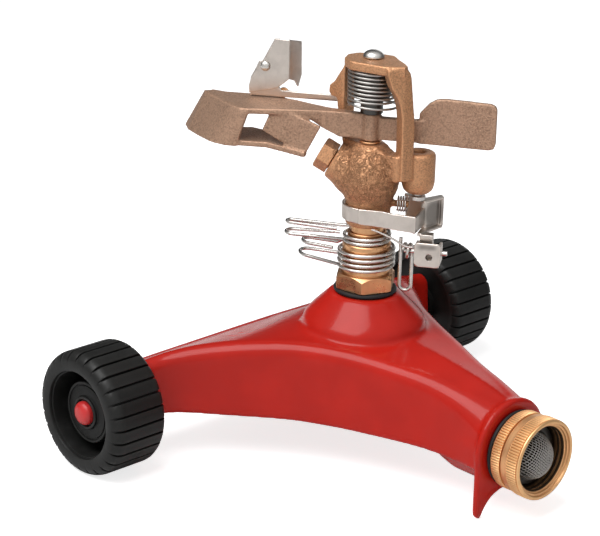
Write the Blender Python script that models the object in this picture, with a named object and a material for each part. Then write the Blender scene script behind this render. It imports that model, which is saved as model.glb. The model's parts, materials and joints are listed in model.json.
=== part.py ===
"""Impulse sprinkler on a wheeled base.

A part-circle impact head in cast bronze stands on a red cast base with two black wheels. The hose
screws into the swivel coupling at the front. Sizes are real sizes, written in millimetres times MM.
The origin is on the ground under the middle of the outline, with +Z up, the hose coming in from -Y
and the axle along X. The head's own pieces are drawn in the head's frame, whose X axis is the impact
arm's long direction, and an empty on the riser's axis turns them to the angle the head stands at.
"""
import math

import bmesh
import bpy
from mathutils import Matrix, Vector

MM = 0.001

# Where the main lines of the object are
RISER_Y = 12.65 * MM
HEAD_ANGLE = math.radians(-54.8)
INLET_HEIGHT = 27.1 * MM

# Wheels and axle
WHEEL_RADIUS = 26.5 * MM
WHEEL_INNER_X = 86.9 * MM
WHEEL_OUTER_X = 113.3 * MM
AXLE_Y = RISER_Y + 51 * MM
AXLE_RADIUS = 3 * MM
TREAD_LUGS = 28
TREAD_DEPTH = 1.5 * MM
GROOVE_SHARE = 0.24
CAP_RADIUS = 5 * MM

# Cast base
WALL = 3 * MM
SKIRT_BOTTOM = 20 * MM
FLANGE_FACE_Y = RISER_Y - 85.3 * MM
FLANGE_THICKNESS = 3.2 * MM
FLANGE_RADIUS = 20 * MM

# Hose coupling
COUPLING_FRONT_Y = -(AXLE_Y + WHEEL_RADIUS)
COUPLING_BACK_Y = FLANGE_FACE_Y - 2.2 * MM

# Bearing nut, tube and friction collars
HEX_FLATS = 23 * MM
NUT_BOTTOM = 71.4 * MM
NUT_SHOULDER = 91.2 * MM
NUT_TOP = 95.7 * MM
TUBE_RADIUS = 7.1 * MM
COLLAR_WIRE = 1.5 * MM

# Head
YOKE_ANGLE = math.radians(-28)
YOKE_WIDTH = 7.6 * MM
CAP_BOTTOM = 165.5 * MM
CAP_TOP = 169.2 * MM
NOZZLE_RISE = math.radians(28)
NOZZLE_START = 117 * MM
RIVET_X = -46.1 * MM
RIVET_Z = 160.5 * MM
PIN_RADIUS = 2 * MM
TRIP_AXIS_Y = -3.5 * MM
TRIP_AXIS_Z = 89.5 * MM


def material(name, colour, roughness, metallic):
    """A plain Principled material."""
    made = bpy.data.materials.new(name)
    made.use_nodes = True
    shader = made.node_tree.nodes["Principled BSDF"]
    shader.inputs["Base Color"].default_value = (*colour, 1)
    shader.inputs["Roughness"].default_value = roughness
    shader.inputs["Metallic"].default_value = metallic
    return made


def add_object(name, data, matte=None, parent=None):
    """Link a new object, give it its material and hang it on its parent."""
    made = bpy.data.objects.new(name, data)
    bpy.context.scene.collection.objects.link(made)
    if matte is not None:
        made.data.materials.append(matte)
    if parent is not None:
        made.parent = parent
    return made


def mesh_from(name, bm, smooth_below=40):
    """Turn a bmesh into a mesh with outward faces and smooth round sides."""
    bmesh.ops.remove_doubles(bm, verts=bm.verts, dist=1e-6)
    bmesh.ops.recalc_face_normals(bm, faces=bm.faces)
    mesh = bpy.data.meshes.new(name)
    bm.to_mesh(mesh)
    bm.free()
    mesh.shade_smooth()
    mesh.set_sharp_from_angle(angle=math.radians(smooth_below))
    return mesh


def turned(name, profile, segments=40, matrix=None, scale=MM):
    """A solid or ring turned about Z from (radius, height) points in millimetres."""
    bm = bmesh.new()
    points = [bm.verts.new((radius * scale, 0, height * scale)) for radius, height in profile]
    closed = min(radius for radius, height in profile) > 0
    pairs = zip(points, points[1:] + points[:1]) if closed else zip(points, points[1:])
    edges = [bm.edges.new(pair) for pair in pairs]
    bmesh.ops.spin(bm, geom=edges, cent=(0, 0, 0), axis=(0, 0, 1), angle=2 * math.pi,
                   steps=segments, use_merge=True)
    if matrix is not None:
        bm.transform(matrix)
    return mesh_from(name, bm)


def prism(name, outline, low, high, matrix=None):
    """An outline in the XY plane, in millimetres, raised from low to high."""
    bm = bmesh.new()
    face = bm.faces.new([bm.verts.new((x * MM, y * MM, low * MM)) for x, y in outline])
    raised = bmesh.ops.extrude_face_region(bm, geom=[face])["geom"]
    lift = [item for item in raised if isinstance(item, bmesh.types.BMVert)]
    bmesh.ops.translate(bm, verts=lift, vec=(0, 0, (high - low) * MM))
    if matrix is not None:
        bm.transform(matrix)
    return mesh_from(name, bm)


def box(name, low, high, matrix=None):
    """A box between two corners in millimetres."""
    outline = [(low[0], low[1]), (high[0], low[1]), (high[0], high[1]), (low[0], high[1])]
    return prism(name, outline, low[2], high[2], matrix)


def bent_strip(path, thickness):
    """The outline of a strip that follows a path, seen from its edge."""
    sides = ([], [])
    for index, point in enumerate(path):
        here = Vector(point)
        before = Vector(path[max(index - 1, 0)])
        after = Vector(path[min(index + 1, len(path) - 1)])
        along = (after - before).normalized()
        across = Vector((-along.y, along.x)) * thickness / 2
        sides[0].append(tuple(here + across))
        sides[1].append(tuple(here - across))
    return sides[0] + sides[1][::-1]


def wire(name, points, radius, matte, parent=None):
    """A round wire along points in millimetres, with filled ends."""
    curve = bpy.data.curves.new(name, "CURVE")
    curve.dimensions = "3D"
    curve.bevel_depth = radius
    curve.bevel_resolution = 1
    curve.use_fill_caps = True
    spline = curve.splines.new("POLY")
    spline.points.add(len(points) - 1)
    for slot, point in zip(spline.points, points):
        slot.co = (point[0] * MM, point[1] * MM, point[2] * MM, 1)
    return add_object(name, curve, matte, parent)


def combine(target, operation, name, mesh, parent=None):
    """Join a shape to a piece, or cut it away, with a live Boolean."""
    helper = add_object(name, mesh, None, parent)
    helper.hide_render = True
    helper.display_type = "WIRE"
    modifier = target.modifiers.new(name, "BOOLEAN")
    modifier.operation = operation
    modifier.object = helper
    return helper


def along_x(x=0.0, y=0.0, z=0.0):
    """A frame whose Z axis lies along +X, for pieces turned about a cross axis."""
    return Matrix.Translation((x, y, z)) @ Matrix.Rotation(math.pi / 2, 4, "Y")


def along_y(x=0.0, y=0.0, z=0.0):
    """A frame whose Z axis lies along +Y."""
    return Matrix.Translation((x, y, z)) @ Matrix.Rotation(-math.pi / 2, 4, "X")


def standing(angle=0.0):
    """A frame that stands an outline up: its x runs level at this angle, its y runs up."""
    return Matrix.Rotation(angle, 4, "Z") @ Matrix.Rotation(math.pi / 2, 4, "X")


def smooth_curve(points, steps):
    """A Catmull-Rom curve through points of any dimension, with steps pieces between each two."""
    ends = [2 * points[0] - points[1]] + points + [2 * points[-1] - points[-2]]
    curve = []
    for a, b, c, d in zip(ends, ends[1:], ends[2:], ends[3:]):
        for step in range(steps):
            t = step / steps
            curve.append(0.5 * (2 * b + (c - a) * t + (2 * a - 5 * b + 4 * c - d) * t * t
                                + (3 * b - a - 3 * c + d) * t ** 3))
    return curve + [points[-1].copy()]


# The base's half shell is drawn by stations. Each runs from a point of the concave side, given as
# x, y, rim height and rim radius, to a point of the crest, given as x, y and height. The crest is
# the middle line at the front and the back edge of the rear arm.
STATIONS = [
    ((17.3, -83, 44.9, 14), (0, -83, 45.2)),
    ((17.2, -68, 48.0, 9), (0, -68, 49.5)),
    ((19.0, -53, 50.3, 7), (0, -53, 52.0)),
    ((24.3, -36, 52.2, 6), (0, -36, 54.0)),
    ((30.6, -19, 53.6, 6), (0, -19, 55.0)),
    ((38.4, -3, 54.0, 6), (0, -2, 55.4)),
    ((46.0, 7.5, 53.6, 6), (0, 18, 55.0)),
    ((54.0, 17, 52.4, 6), (0, 36, 50.3)),
    ((60.0, 24, 51.0, 6), (0, 54, 41.3)),
    ((65.5, 30.5, 49.4, 6), (21, 54, 41.1)),
    ((70.8, 36, 47.6, 5.6), (43, 54, 40.8)),
    ((76.5, 39.7, 45.6, 5.2), (64, 54, 40.5)),
    ((81.0, 40.5, 44.3, 5), (77, 54, 40.2)),
    ((84.5, 40.5, 43.5, 5), (84.5, 54, 40.0)),
]
BACK_STATION = 8
BACK_DEPTH = 8.5
BACK_DRAFT = 0.6
SIDE_DRAFT = 1.2
ARM_END_X = 86.0
ARM_END_SHRINK = 0.9


def station_section(side, crest, has_back, rim_steps=3, top_steps=2, back_steps=3):
    """One section of the half shell: up the skirt, round the rim and over the top to the crest."""
    foot = Vector(side[:2])
    goal = Vector(crest[:2])
    inward = (goal - foot).normalized()
    reach = (goal - foot).length
    rim_height = side[2]
    radius = side[3]
    bottom = SKIRT_BOTTOM / MM
    points = [(*foot, bottom), (*(foot + inward * SIDE_DRAFT * 0.5), (bottom + rim_height - radius) / 2)]
    for step in range(rim_steps + 1):
        turn = math.pi / 2 * step / rim_steps
        place = foot + inward * (SIDE_DRAFT + radius * (1 - math.cos(turn)))
        points.append((*place, rim_height - radius * (1 - math.sin(turn))))
    start = SIDE_DRAFT + radius
    for step in range(1, top_steps + 1):
        share = step / top_steps
        place = foot + inward * (start + (reach - start) * share)
        points.append((*place, rim_height + (crest[2] - rim_height) * share))
    if has_back:
        for step in range(1, back_steps + 1):
            turn = math.pi / 2 * step / back_steps
            points.append((goal.x, goal.y + BACK_DEPTH * math.sin(turn),
                           crest[2] - BACK_DEPTH * (1 - math.cos(turn))))
        points.append((goal.x, goal.y + BACK_DEPTH + BACK_DRAFT, bottom))
    return points


def base_shell(steps=1):
    """The half shell as a bare surface, with its end wall, ready for Mirror and Solidify."""
    sides = smooth_curve([Vector(side) for side, crest in STATIONS], steps)
    crests = smooth_curve([Vector(crest) for side, crest in STATIONS], steps)
    back_start = BACK_STATION * steps
    bm = bmesh.new()
    columns = []
    for index, (side, crest) in enumerate(zip(sides, crests)):
        if index <= back_start:
            crest.x = 0
        section = station_section(side, crest, index >= back_start)
        columns.append([bm.verts.new(Vector(point) * MM) for point in section])
    end_middle = Vector((ARM_END_X, 51, 29))
    last = []
    for vert in columns[-1]:
        point = vert.co / MM
        shrunk = end_middle + (point - end_middle) * ARM_END_SHRINK
        height = max(shrunk.z, SKIRT_BOTTOM / MM) if point.z > SKIRT_BOTTOM / MM else point.z
        last.append(bm.verts.new(Vector((ARM_END_X, shrunk.y, height)) * MM))
    columns.append(last)
    for left, right in zip(columns, columns[1:]):
        shared = min(len(left), len(right))
        for row in range(shared - 1):
            bm.faces.new((left[row], right[row], right[row + 1], left[row + 1]))
    bm.faces.new(last)
    bmesh.ops.translate(bm, verts=bm.verts, vec=(0, RISER_Y, 0))
    bmesh.ops.recalc_face_normals(bm, faces=bm.faces)
    outward = sum(face.normal.z * face.calc_area() for face in bm.faces)
    if outward < 0:
        bmesh.ops.reverse_faces(bm, faces=bm.faces)
    mesh = bpy.data.meshes.new("base_casting")
    bm.to_mesh(mesh)
    bm.free()
    mesh.shade_smooth()
    mesh.set_sharp_from_angle(angle=math.radians(50))
    return mesh


def make_base(red):
    """The cast base: hollow shell, dome, cast-in water way, coupling flange and two feet."""
    base = add_object("base_casting", base_shell(), red)
    mirror = base.modifiers.new("other half", "MIRROR")
    mirror.merge_threshold = 0.00005
    solid = base.modifiers.new("wall", "SOLIDIFY")
    solid.thickness = WALL
    solid.offset = -1
    solid.use_even_offset = True
    solid.use_rim = True
    riser = Matrix.Translation((0, RISER_Y, 0))
    dome = [(0, 16), (15, 16), (17, 20), (17, 44), (22, 51), (26.4, 52), (26.2, 55), (25.9, 57), (24.6, 59),
            (22.2, 61.6), (18.2, 65.6), (14.6, 69.2), (0, 69.2)]
    combine(base, "UNION", "dome", turned("dome", dome, 36, riser))
    inlet = along_y(0, RISER_Y, INLET_HEIGHT)
    boss = [(0, -84), (17, -84), (17, -64), (15.2, -56), (11.5, -51), (11, -46), (11, 0), (0, 0)]
    combine(base, "UNION", "inlet boss", turned("inlet boss", boss, 32, inlet))
    front = Matrix.Translation((0, FLANGE_FACE_Y, INLET_HEIGHT)) @ Matrix.Rotation(math.pi / 2, 4, "X")
    combine(base, "UNION", "flange and feet", prism("flange and feet", flange_outline(),
                                                    -FLANGE_THICKNESS / MM, 0, front))
    bore = [(0, -90), (12.8, -90), (12.8, -64), (8, -62), (8, 0), (0, 0)]
    combine(base, "DIFFERENCE", "inlet bore", turned("inlet bore", bore, 24, inlet))
    chamber = [(0, 22), (7.6, 22), (7.6, 43), (10.8, 44), (10.8, 75), (0, 75)]
    combine(base, "DIFFERENCE", "riser bore", turned("riser bore", chamber, 24, riser))
    hole = [(0, -100), (AXLE_RADIUS / MM + 0.3, -100), (AXLE_RADIUS / MM + 0.3, 100), (0, 100)]
    combine(base, "DIFFERENCE", "axle holes", turned("axle holes", hole, 20,
                                                     along_x(0, AXLE_Y, WHEEL_RADIUS)))
    return base


def flange_outline():
    """The coupling flange seen from the front: a disc whose lower part runs down into two feet."""
    radius = FLANGE_RADIUS / MM
    ground = -INLET_HEIGHT / MM
    outline = []
    for step in range(25):
        turn = math.radians(-8 + 196 * step / 24)
        outline.append((radius * math.cos(turn), radius * math.sin(turn)))
    foot = [(-19.6, -12), (-19.4, ground + 2.2), (-18.6, ground + 0.6), (-17.6, ground), (-16.2, ground),
            (-15.2, ground + 1.6), (-13.4, ground + 4.6), (-10.4, ground + 7.4), (-6, ground + 9),
            (0, ground + 9.6)]
    outline += foot
    outline += [(-x, y) for x, y in foot[-2::-1]]
    return outline


def wheel_mesh(name, mirrored):
    """A one-piece wheel: lugs across the tread, a flat side ring, a deep recess and a hub."""
    outer = WHEEL_OUTER_X / MM
    inner = WHEEL_INNER_X / MM
    radius = WHEEL_RADIUS / MM
    depth = TREAD_DEPTH / MM
    bore = AXLE_RADIUS / MM + 0.3
    tread = [(radius - 2.6, inner), (radius, inner + 2.4), (radius, outer - 3.2), (radius - 3.4, outer)]
    side = [(19, outer), (18.2, outer - 1), (18.2, inner + 6), (13.2, inner + 6), (13.2, outer - 5.2),
            (bore, outer - 5.2), (bore, inner + 0.4), (9, inner + 0.4), (9, inner + 3.2),
            (radius - 5, inner + 3.2),
            (radius - 5, inner)]
    pitch = 2 * math.pi / TREAD_LUGS
    flip = -1 if mirrored else 1
    bm = bmesh.new()

    def vertex(ring_radius, x, angle):
        return bm.verts.new((flip * x * MM, AXLE_Y + ring_radius * MM * math.cos(angle),
                             WHEEL_RADIUS + ring_radius * MM * math.sin(angle)))

    tread_rings = []
    for ring_radius, x in tread:
        ring = []
        for lug in range(TREAD_LUGS):
            start = lug * pitch
            stop = start + pitch * (1 - GROOVE_SHARE)
            ring.append(vertex(ring_radius, x, start))
            ring.append(vertex(ring_radius, x, stop))
            ring.append(vertex(ring_radius - depth, x, stop + pitch * GROOVE_SHARE * 0.2))
            ring.append(vertex(ring_radius - depth, x, start + pitch - pitch * GROOVE_SHARE * 0.2))
        tread_rings.append(ring)
    for low, high in zip(tread_rings, tread_rings[1:]):
        for k in range(len(low)):
            n = (k + 1) % len(low)
            bm.faces.new((low[k], low[n], high[n], high[k]))
    side_rings = []
    for ring_radius, x in side:
        ring = []
        for lug in range(TREAD_LUGS):
            ring.append(vertex(ring_radius, x, lug * pitch))
        side_rings.append(ring)
    for low, high in zip(side_rings, side_rings[1:]):
        for k in range(TREAD_LUGS):
            n = (k + 1) % TREAD_LUGS
            bm.faces.new((low[k], low[n], high[n], high[k]))
    for coarse, fine in ((side_rings[0], tread_rings[-1]), (side_rings[-1], tread_rings[0])):
        for lug in range(TREAD_LUGS):
            after = (lug + 1) % TREAD_LUGS
            lugs = [fine[(4 * lug + k) % len(fine)] for k in (4, 3, 2, 1, 0)]
            bm.faces.new((coarse[lug], coarse[after], *lugs))
    return mesh_from(name, bm, 35)


def make_wheels(black, steel, red):
    """Two wheels on one rod, each held by a red push cap."""
    rod_end = (WHEEL_OUTER_X / MM) - 3.9
    rod = [(0, -rod_end), (AXLE_RADIUS / MM - 0.6, -rod_end), (AXLE_RADIUS / MM, -rod_end + 0.6),
           (AXLE_RADIUS / MM, rod_end - 0.6), (AXLE_RADIUS / MM - 0.6, rod_end), (0, rod_end)]
    add_object("axle_rod", turned("axle_rod", rod, 24, along_x(0, AXLE_Y, WHEEL_RADIUS)), steel)
    cap_start = WHEEL_OUTER_X / MM - 4.9
    bore = AXLE_RADIUS / MM + 0.3
    cap = [(0, cap_start + 1.3), (bore, cap_start + 1.3), (bore, cap_start), (CAP_RADIUS / MM, cap_start),
           (CAP_RADIUS / MM, cap_start + 1.6), (4.4, cap_start + 2.8), (3, cap_start + 3.6),
           (0, cap_start + 3.9)]
    for side, mirrored in (("left", True), ("right", False)):
        add_object("wheel_" + side, wheel_mesh("wheel_" + side, mirrored), black)
        turn = Matrix.Rotation(math.pi if mirrored else 0, 4, "Z")
        place = Matrix.Translation((0, AXLE_Y, WHEEL_RADIUS)) @ turn @ Matrix.Rotation(math.pi / 2, 4, "Y")
        add_object("axle_cap_" + side, turned("axle_cap_" + side, cap, 20, place), red)


def make_coupling(brass, black, steel):
    """The threaded stub in the base, the swivel nut on it, and the washer and strainer in its mouth."""
    face = FLANGE_FACE_Y / MM
    front = COUPLING_FRONT_Y / MM
    back = COUPLING_BACK_Y / MM
    inlet = along_y(0, 0, INLET_HEIGHT)
    stub = [(7.5, face + 20), (7.5, back - 4.2), (10.4, back - 4.2), (10.4, back - 2.4), (8.9, back - 2.4),
            (8.9, face - 0.3), (12.5, face - 0.3), (12.5, face + 20)]
    add_object("inlet_stub", turned("inlet_stub", stub, 24, inlet), brass)
    gasket = [(12.8, face - 1.9), (15.4, face - 1.9), (15.9, face - 1.1), (15.4, face - 0.3),
              (12.8, face - 0.3)]
    add_object("inlet_gasket", turned("inlet_gasket", gasket, 32, inlet), black)
    nut = [(9.2, back), (15, back), (16.2, back - 0.7), (16.2, back - 4.9), (15.6, back - 5.3),
           (15.6, back - 8.3),
           (16.5, back - 8.7), (16.5, back - 13.2), (16.1, front + 0.9), (15.6, front), (13.4, front),
           (12.9, front + 0.6), (12.9, back - 2.1), (9.2, back - 2.1)]
    add_object("coupling_nut", turned("coupling_nut", nut, 36, inlet), brass)
    seat = back - 4.5
    washer = [(8.2, seat), (12.6, seat), (12.6, seat - 2.6), (8.2, seat - 2.6)]
    add_object("hose_washer", turned("hose_washer", washer, 28, inlet), black)
    rim = seat - 2.9
    strainer = [(0, rim - 5.8), (8.2, rim), (12.4, rim), (12.4, rim - 0.8), (8.6, rim - 0.8), (0, rim - 6.6)]
    add_object("filter_screen", turned("filter_screen", strainer, 28, inlet), steel)


def hexagon(flats, turn=0.0):
    """The corners of a hexagon of this width across its flats, in millimetres."""
    corner = flats / math.sqrt(3)
    return [(corner * math.cos(turn + math.pi / 3 * k),
             corner * math.sin(turn + math.pi / 3 * k)) for k in range(6)]


def make_bearing(brass, black):
    """The gasket, the bearing nut with its two collar seats, and the seal under it."""
    riser = Matrix.Translation((0, RISER_Y, 0))
    gasket = [(11.1, 69.5), (13, 69.5), (13.4, 70.3), (13, 71.1), (11.1, 71.1)]
    add_object("riser_gasket", turned("riser_gasket", gasket, 28, riser), black)
    flats = HEX_FLATS / MM
    bottom = NUT_BOTTOM / MM
    top = NUT_TOP / MM
    shoulder = NUT_SHOULDER / MM
    bore = TUBE_RADIUS / MM + 0.3
    corner = flats / math.sqrt(3)
    nut = add_object("bearing_nut", prism("bearing_nut", hexagon(flats, math.radians(-142)), bottom, 77.9,
                                          riser), brass)
    chamfer = [(0, bottom - 1), (corner + 1, bottom - 1), (corner + 1, 76.2), (11.4, 77.9), (0, 77.9)]
    combine(nut, "INTERSECT", "nut chamfer", turned("nut chamfer", chamfer, 30, riser))
    barrel = [(0, 50), (10.5, 50), (10.5, 77.5), (10.1, 78), (10.1, shoulder - 0.6), (9.6, shoulder - 0.1),
              (8.15, shoulder - 0.1), (8.15, top - 0.3), (7.9, top), (0, top)]
    combine(nut, "UNION", "nut barrel", turned("nut barrel", barrel, 28, riser))
    hole = [(0, 40), (bore, 40), (bore, 110), (0, 110)]
    combine(nut, "DIFFERENCE", "nut bore", turned("nut bore", hole, 24, riser))
    seal = [(bore, 46.6), (10.2, 46.6), (10.2, 49.6), (bore, 49.6)]
    add_object("seal_washer", turned("seal_washer", seal, 24, riser), black)


def collar_points(coil_radius, start_height, pitch, turns, start_turn, finger_low, finger_high):
    """A friction collar: a wire coil whose two ends run out into hairpin fingers and back."""
    points = list(finger_low(start_height))
    steps = int(round(turns * 14))
    for step in range(steps + 1):
        angle = start_turn + 2 * math.pi * turns * step / steps
        points.append((coil_radius * math.cos(angle), coil_radius * math.sin(angle),
                       start_height + pitch * turns * step / steps))
    points += list(finger_high(start_height + pitch * turns))
    return points


def hairpin(free_end, far, near, height):
    """A flat hairpin at one height: from its free end out along one leg, round, and back."""
    first = Vector(far)
    second = Vector(near)
    middle = (first + second) / 2
    half = (first - second).length / 2
    out = (first + second).normalized()
    across = (first - second).normalized()
    points = [(*free_end, height)]
    for step in range(6):
        turn = math.pi * step / 5
        place = middle + across * half * math.cos(turn) + out * half * math.sin(turn)
        points.append((*place, height))
    return points


def make_collars(steel, head):
    """The two friction collars, whose fingers flip the trip and set the watered arc."""
    low = collar_points(
        11.45, 80.6, 2.2, 3.88, math.radians(197),
        lambda height: hairpin((-13.4, 9.4), (-25.6, 11), (-24.4, 1.4), height + 0.6),
        lambda height: hairpin((-13.6, 7.4), (-25.2, 9.4), (-24.4, 2),
                               height - 2.4) + [(-14.2, -0.6, height - 2.4)])
    wire("collar_lower", low, COLLAR_WIRE / 2, steel, head)
    high = collar_points(
        9.5, 91.8, 1.95, 1.86, math.radians(200),
        lambda height: hairpin((-12.4, 5.4), (-31.4, 4.2), (-31.2, -2.4), height),
        lambda height: hairpin((-12, 6), (-33.4, 7.6), (-33.2, 3.6), height - 0.7) + [(-13, 1, height - 0.7)])
    wire("collar_upper", high, COLLAR_WIRE / 2, steel, head)
    for label, points in (("collar_lower", low), ("collar_upper", high)):
        print(label, "least gap to itself, mm:", round(least_gap(points, COLLAR_WIRE / MM), 2))


def least_gap(points, thickness):
    """The least clear distance between stretches of a wire that aren't neighbours along it."""
    dense = []
    for first, second in zip(points, points[1:]):
        a = Vector(first)
        b = Vector(second)
        count = max(1, int((b - a).length / 0.8))
        dense += [a.lerp(b, k / count) for k in range(count)]
    travelled = [0.0]
    for a, b in zip(dense, dense[1:]):
        travelled.append(travelled[-1] + (b - a).length)
    best = 1000.0
    for i in range(len(dense)):
        for j in range(i + 1, len(dense)):
            if travelled[j] - travelled[i] > 4 * thickness:
                best = min(best, (dense[i] - dense[j]).length)
    return best - thickness


def nozzle_frame(distance):
    """A frame on the water jet's line, with Z along the jet, this far from the riser's axis."""
    return (Matrix.Translation((0, 0, NOZZLE_START)) @ Matrix.Rotation(-(math.pi / 2 - NOZZLE_RISE), 4, "Y")
            @ Matrix.Translation((0, 0, distance * MM)))


def make_body(bronze, head):
    """The cast body: neck and bulb, nozzle socket, yoke, top cap and the boss at its side."""
    bulb = [(0, 98.8), (8.7, 98.8), (9.4, 99.5), (9.4, 108.4), (10.2, 110.3), (12, 114), (12.8, 118.5),
            (12.4, 123),
            (10.8, 127.5), (8.4, 131), (6.2, 133.2), (5.4, 133.7), (0, 133.7)]
    body = add_object("sprinkler_body", turned("sprinkler_body", bulb, 28), bronze, head)
    socket = [(0, 0), (9, 0), (10.6, 5), (9.8, 9.5), (8.5, 13), (7.8, 16.6), (7.2, 17.3), (0, 17.3)]
    combine(body, "UNION", "nozzle socket", turned("nozzle socket", socket, 24, nozzle_frame(0)), head)
    yoke_out = [(16.8, 120.5), (16.8, 134.4), (4, 134.4), (4, 169), (-9.8, 169), (-11.8, 167.4), (-12.4, 164),
                (-17, 157), (-19.4, 155), (-19.6, 152), (-18.4, 150.4), (-15.4, 150.3), (-14.6, 144),
                (-12.6, 135),
                (-10.5, 127), (-8, 120.5)]
    half = YOKE_WIDTH / MM / 2
    combine(body, "UNION", "rear leg", prism("rear leg", yoke_out, -half, half, standing(YOKE_ANGLE)), head)
    cap = [(-11.5, -2.6), (-11.2, 3.2), (-8.5, 6.6), (-5, 7.6), (3, 7.6), (7.8, 6), (10.6, 0), (13.8, -5.4),
           (15.6, -9.6), (14.8, -12.3), (6, -13.6), (1.6, -12), (-3.7, -10.3), (-8.1, -8.3), (-10.5, -4.5)]
    combine(body, "UNION", "cap", prism("cap", cap, CAP_BOTTOM / MM, CAP_TOP / MM), head)
    window = [(20, 131.4), (20, 165.35), (-11.6, 165.35), (-11.6, 133.6), (5.6, 133.6), (7.4, 132.2),
              (10, 130.9),
              (12.6, 131.4)]
    combine(body, "DIFFERENCE", "yoke window", prism("yoke window", window, -20, 20, standing(YOKE_ANGLE)),
            head)
    front_leg = [(3.6, 121), (3.6, 143), (2.85, 151), (2.2, 156), (1.2, 164), (0.4, 166.6), (-1.4, 168.3),
                 (-9.5, 168.3),
                 (-9.5, 166.3), (-7.5, 160.3), (-4.7, 156), (-3.3, 152), (-2.6, 147.5), (-2.3, 137),
                 (-2.3, 121)]
    leg_place = Matrix.Translation((15 * MM, -7.4 * MM, 0)) @ standing(math.radians(30))
    combine(body, "UNION", "front leg", prism("front leg", front_leg, -3.4, 3.5, leg_place), head)
    room = [(0, 146.5), (11.6, 146.5), (11.6, 165.2), (0, 165.2)]
    combine(body, "DIFFERENCE", "spring room", turned("spring room", room, 28), head)
    boss_place = Matrix.Translation((20.3 * MM, 0.2 * MM, 0))
    boss = [(0, 114), (4.6, 114), (6.2, 115.6), (6.9, 118.4), (6.9, 130.3), (5.9, 131.4), (0, 131.4)]
    combine(body, "UNION", "side boss", turned("side boss", boss, 24, boss_place), head)
    post = [(0, 8), (1.5, 8), (1.5, 16.8), (0, 16.8)]
    combine(body, "UNION", "spring post", turned("spring post", post, 16,
                                                 along_x(0, 0.5 * MM, 108.2 * MM)), head)
    bore = TUBE_RADIUS / MM + 0.3
    water = [(0, 90), (bore, 90), (bore, 112), (5.6, 112.6), (5.6, 119), (3.4, 122), (0, 122)]
    combine(body, "DIFFERENCE", "tube bore", turned("tube bore", water, 24), head)
    jet = [(0, 0), (3.3, 0), (3.3, 9), (4.6, 9.4), (4.6, 30), (0, 30)]
    combine(body, "DIFFERENCE", "nozzle bore", turned("nozzle bore", jet, 20,
                                                      nozzle_frame(0) @ Matrix.Rotation(0.08, 4, "Z")), head)
    pin_hole = [(0, 126), (PIN_RADIUS / MM + 0.3, 126), (PIN_RADIUS / MM + 0.3, 175), (0, 175)]
    combine(body, "DIFFERENCE", "pin hole", turned("pin hole", pin_hole, 20), head)
    boss_hole = [(0, 110), (2.4, 110), (2.4, 140), (0, 140)]
    combine(body, "DIFFERENCE", "boss hole", turned("boss hole", boss_hole, 20, boss_place), head)
    return body


def make_water_way(brass, head):
    """The tube that turns in the bearing nut, and the nozzle."""
    outer = TUBE_RADIUS / MM
    tube = [(5.3, 44.6), (9.8, 44.6), (9.8, 46.3), (outer, 46.3), (outer, 111.7), (5.3, 111.7)]
    add_object("bearing_tube", turned("bearing_tube", tube, 24), brass, head)
    nozzle = add_object("nozzle", prism("nozzle", hexagon(11.7, math.radians(20)), 17.6, 23.6,
                                        nozzle_frame(0)), brass, head)
    taper = [(0, 16), (9, 16), (9, 22.6), (5.6, 23.6), (0, 23.6)]
    combine(nozzle, "INTERSECT", "nozzle chamfer", turned("nozzle chamfer", taper, 28, nozzle_frame(0)), head)
    shank = [(0, 10), (4.3, 10), (4.3, 19), (0, 19)]
    combine(nozzle, "UNION", "nozzle shank", turned("nozzle shank", shank, 24, nozzle_frame(0)), head)
    orifice = [(0, 9), (3.2, 9), (2, 18), (2, 22), (3, 24), (0, 24)]
    combine(nozzle, "DIFFERENCE", "nozzle orifice", turned("nozzle orifice", orifice, 20, nozzle_frame(0)),
            head)


def make_fulcrum(steel, brass, head):
    """The pin that the arm swings on, and the washer under the arm's hub."""
    radius = PIN_RADIUS / MM
    pin = [(0, 126.4), (radius, 126.4), (radius, 169.5), (4.3, 169.5), (4.2, 170.3), (3.4, 171.5),
           (1.9, 172.2),
           (0, 172.4)]
    add_object("fulcrum_pin", turned("fulcrum_pin", pin, 24), steel, head)
    washer = [(radius + 0.3, 134), (4.6, 134), (4.6, 134.7), (radius + 0.3, 134.7)]
    add_object("arm_washer", turned("arm_washer", washer, 24), brass, head)


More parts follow.
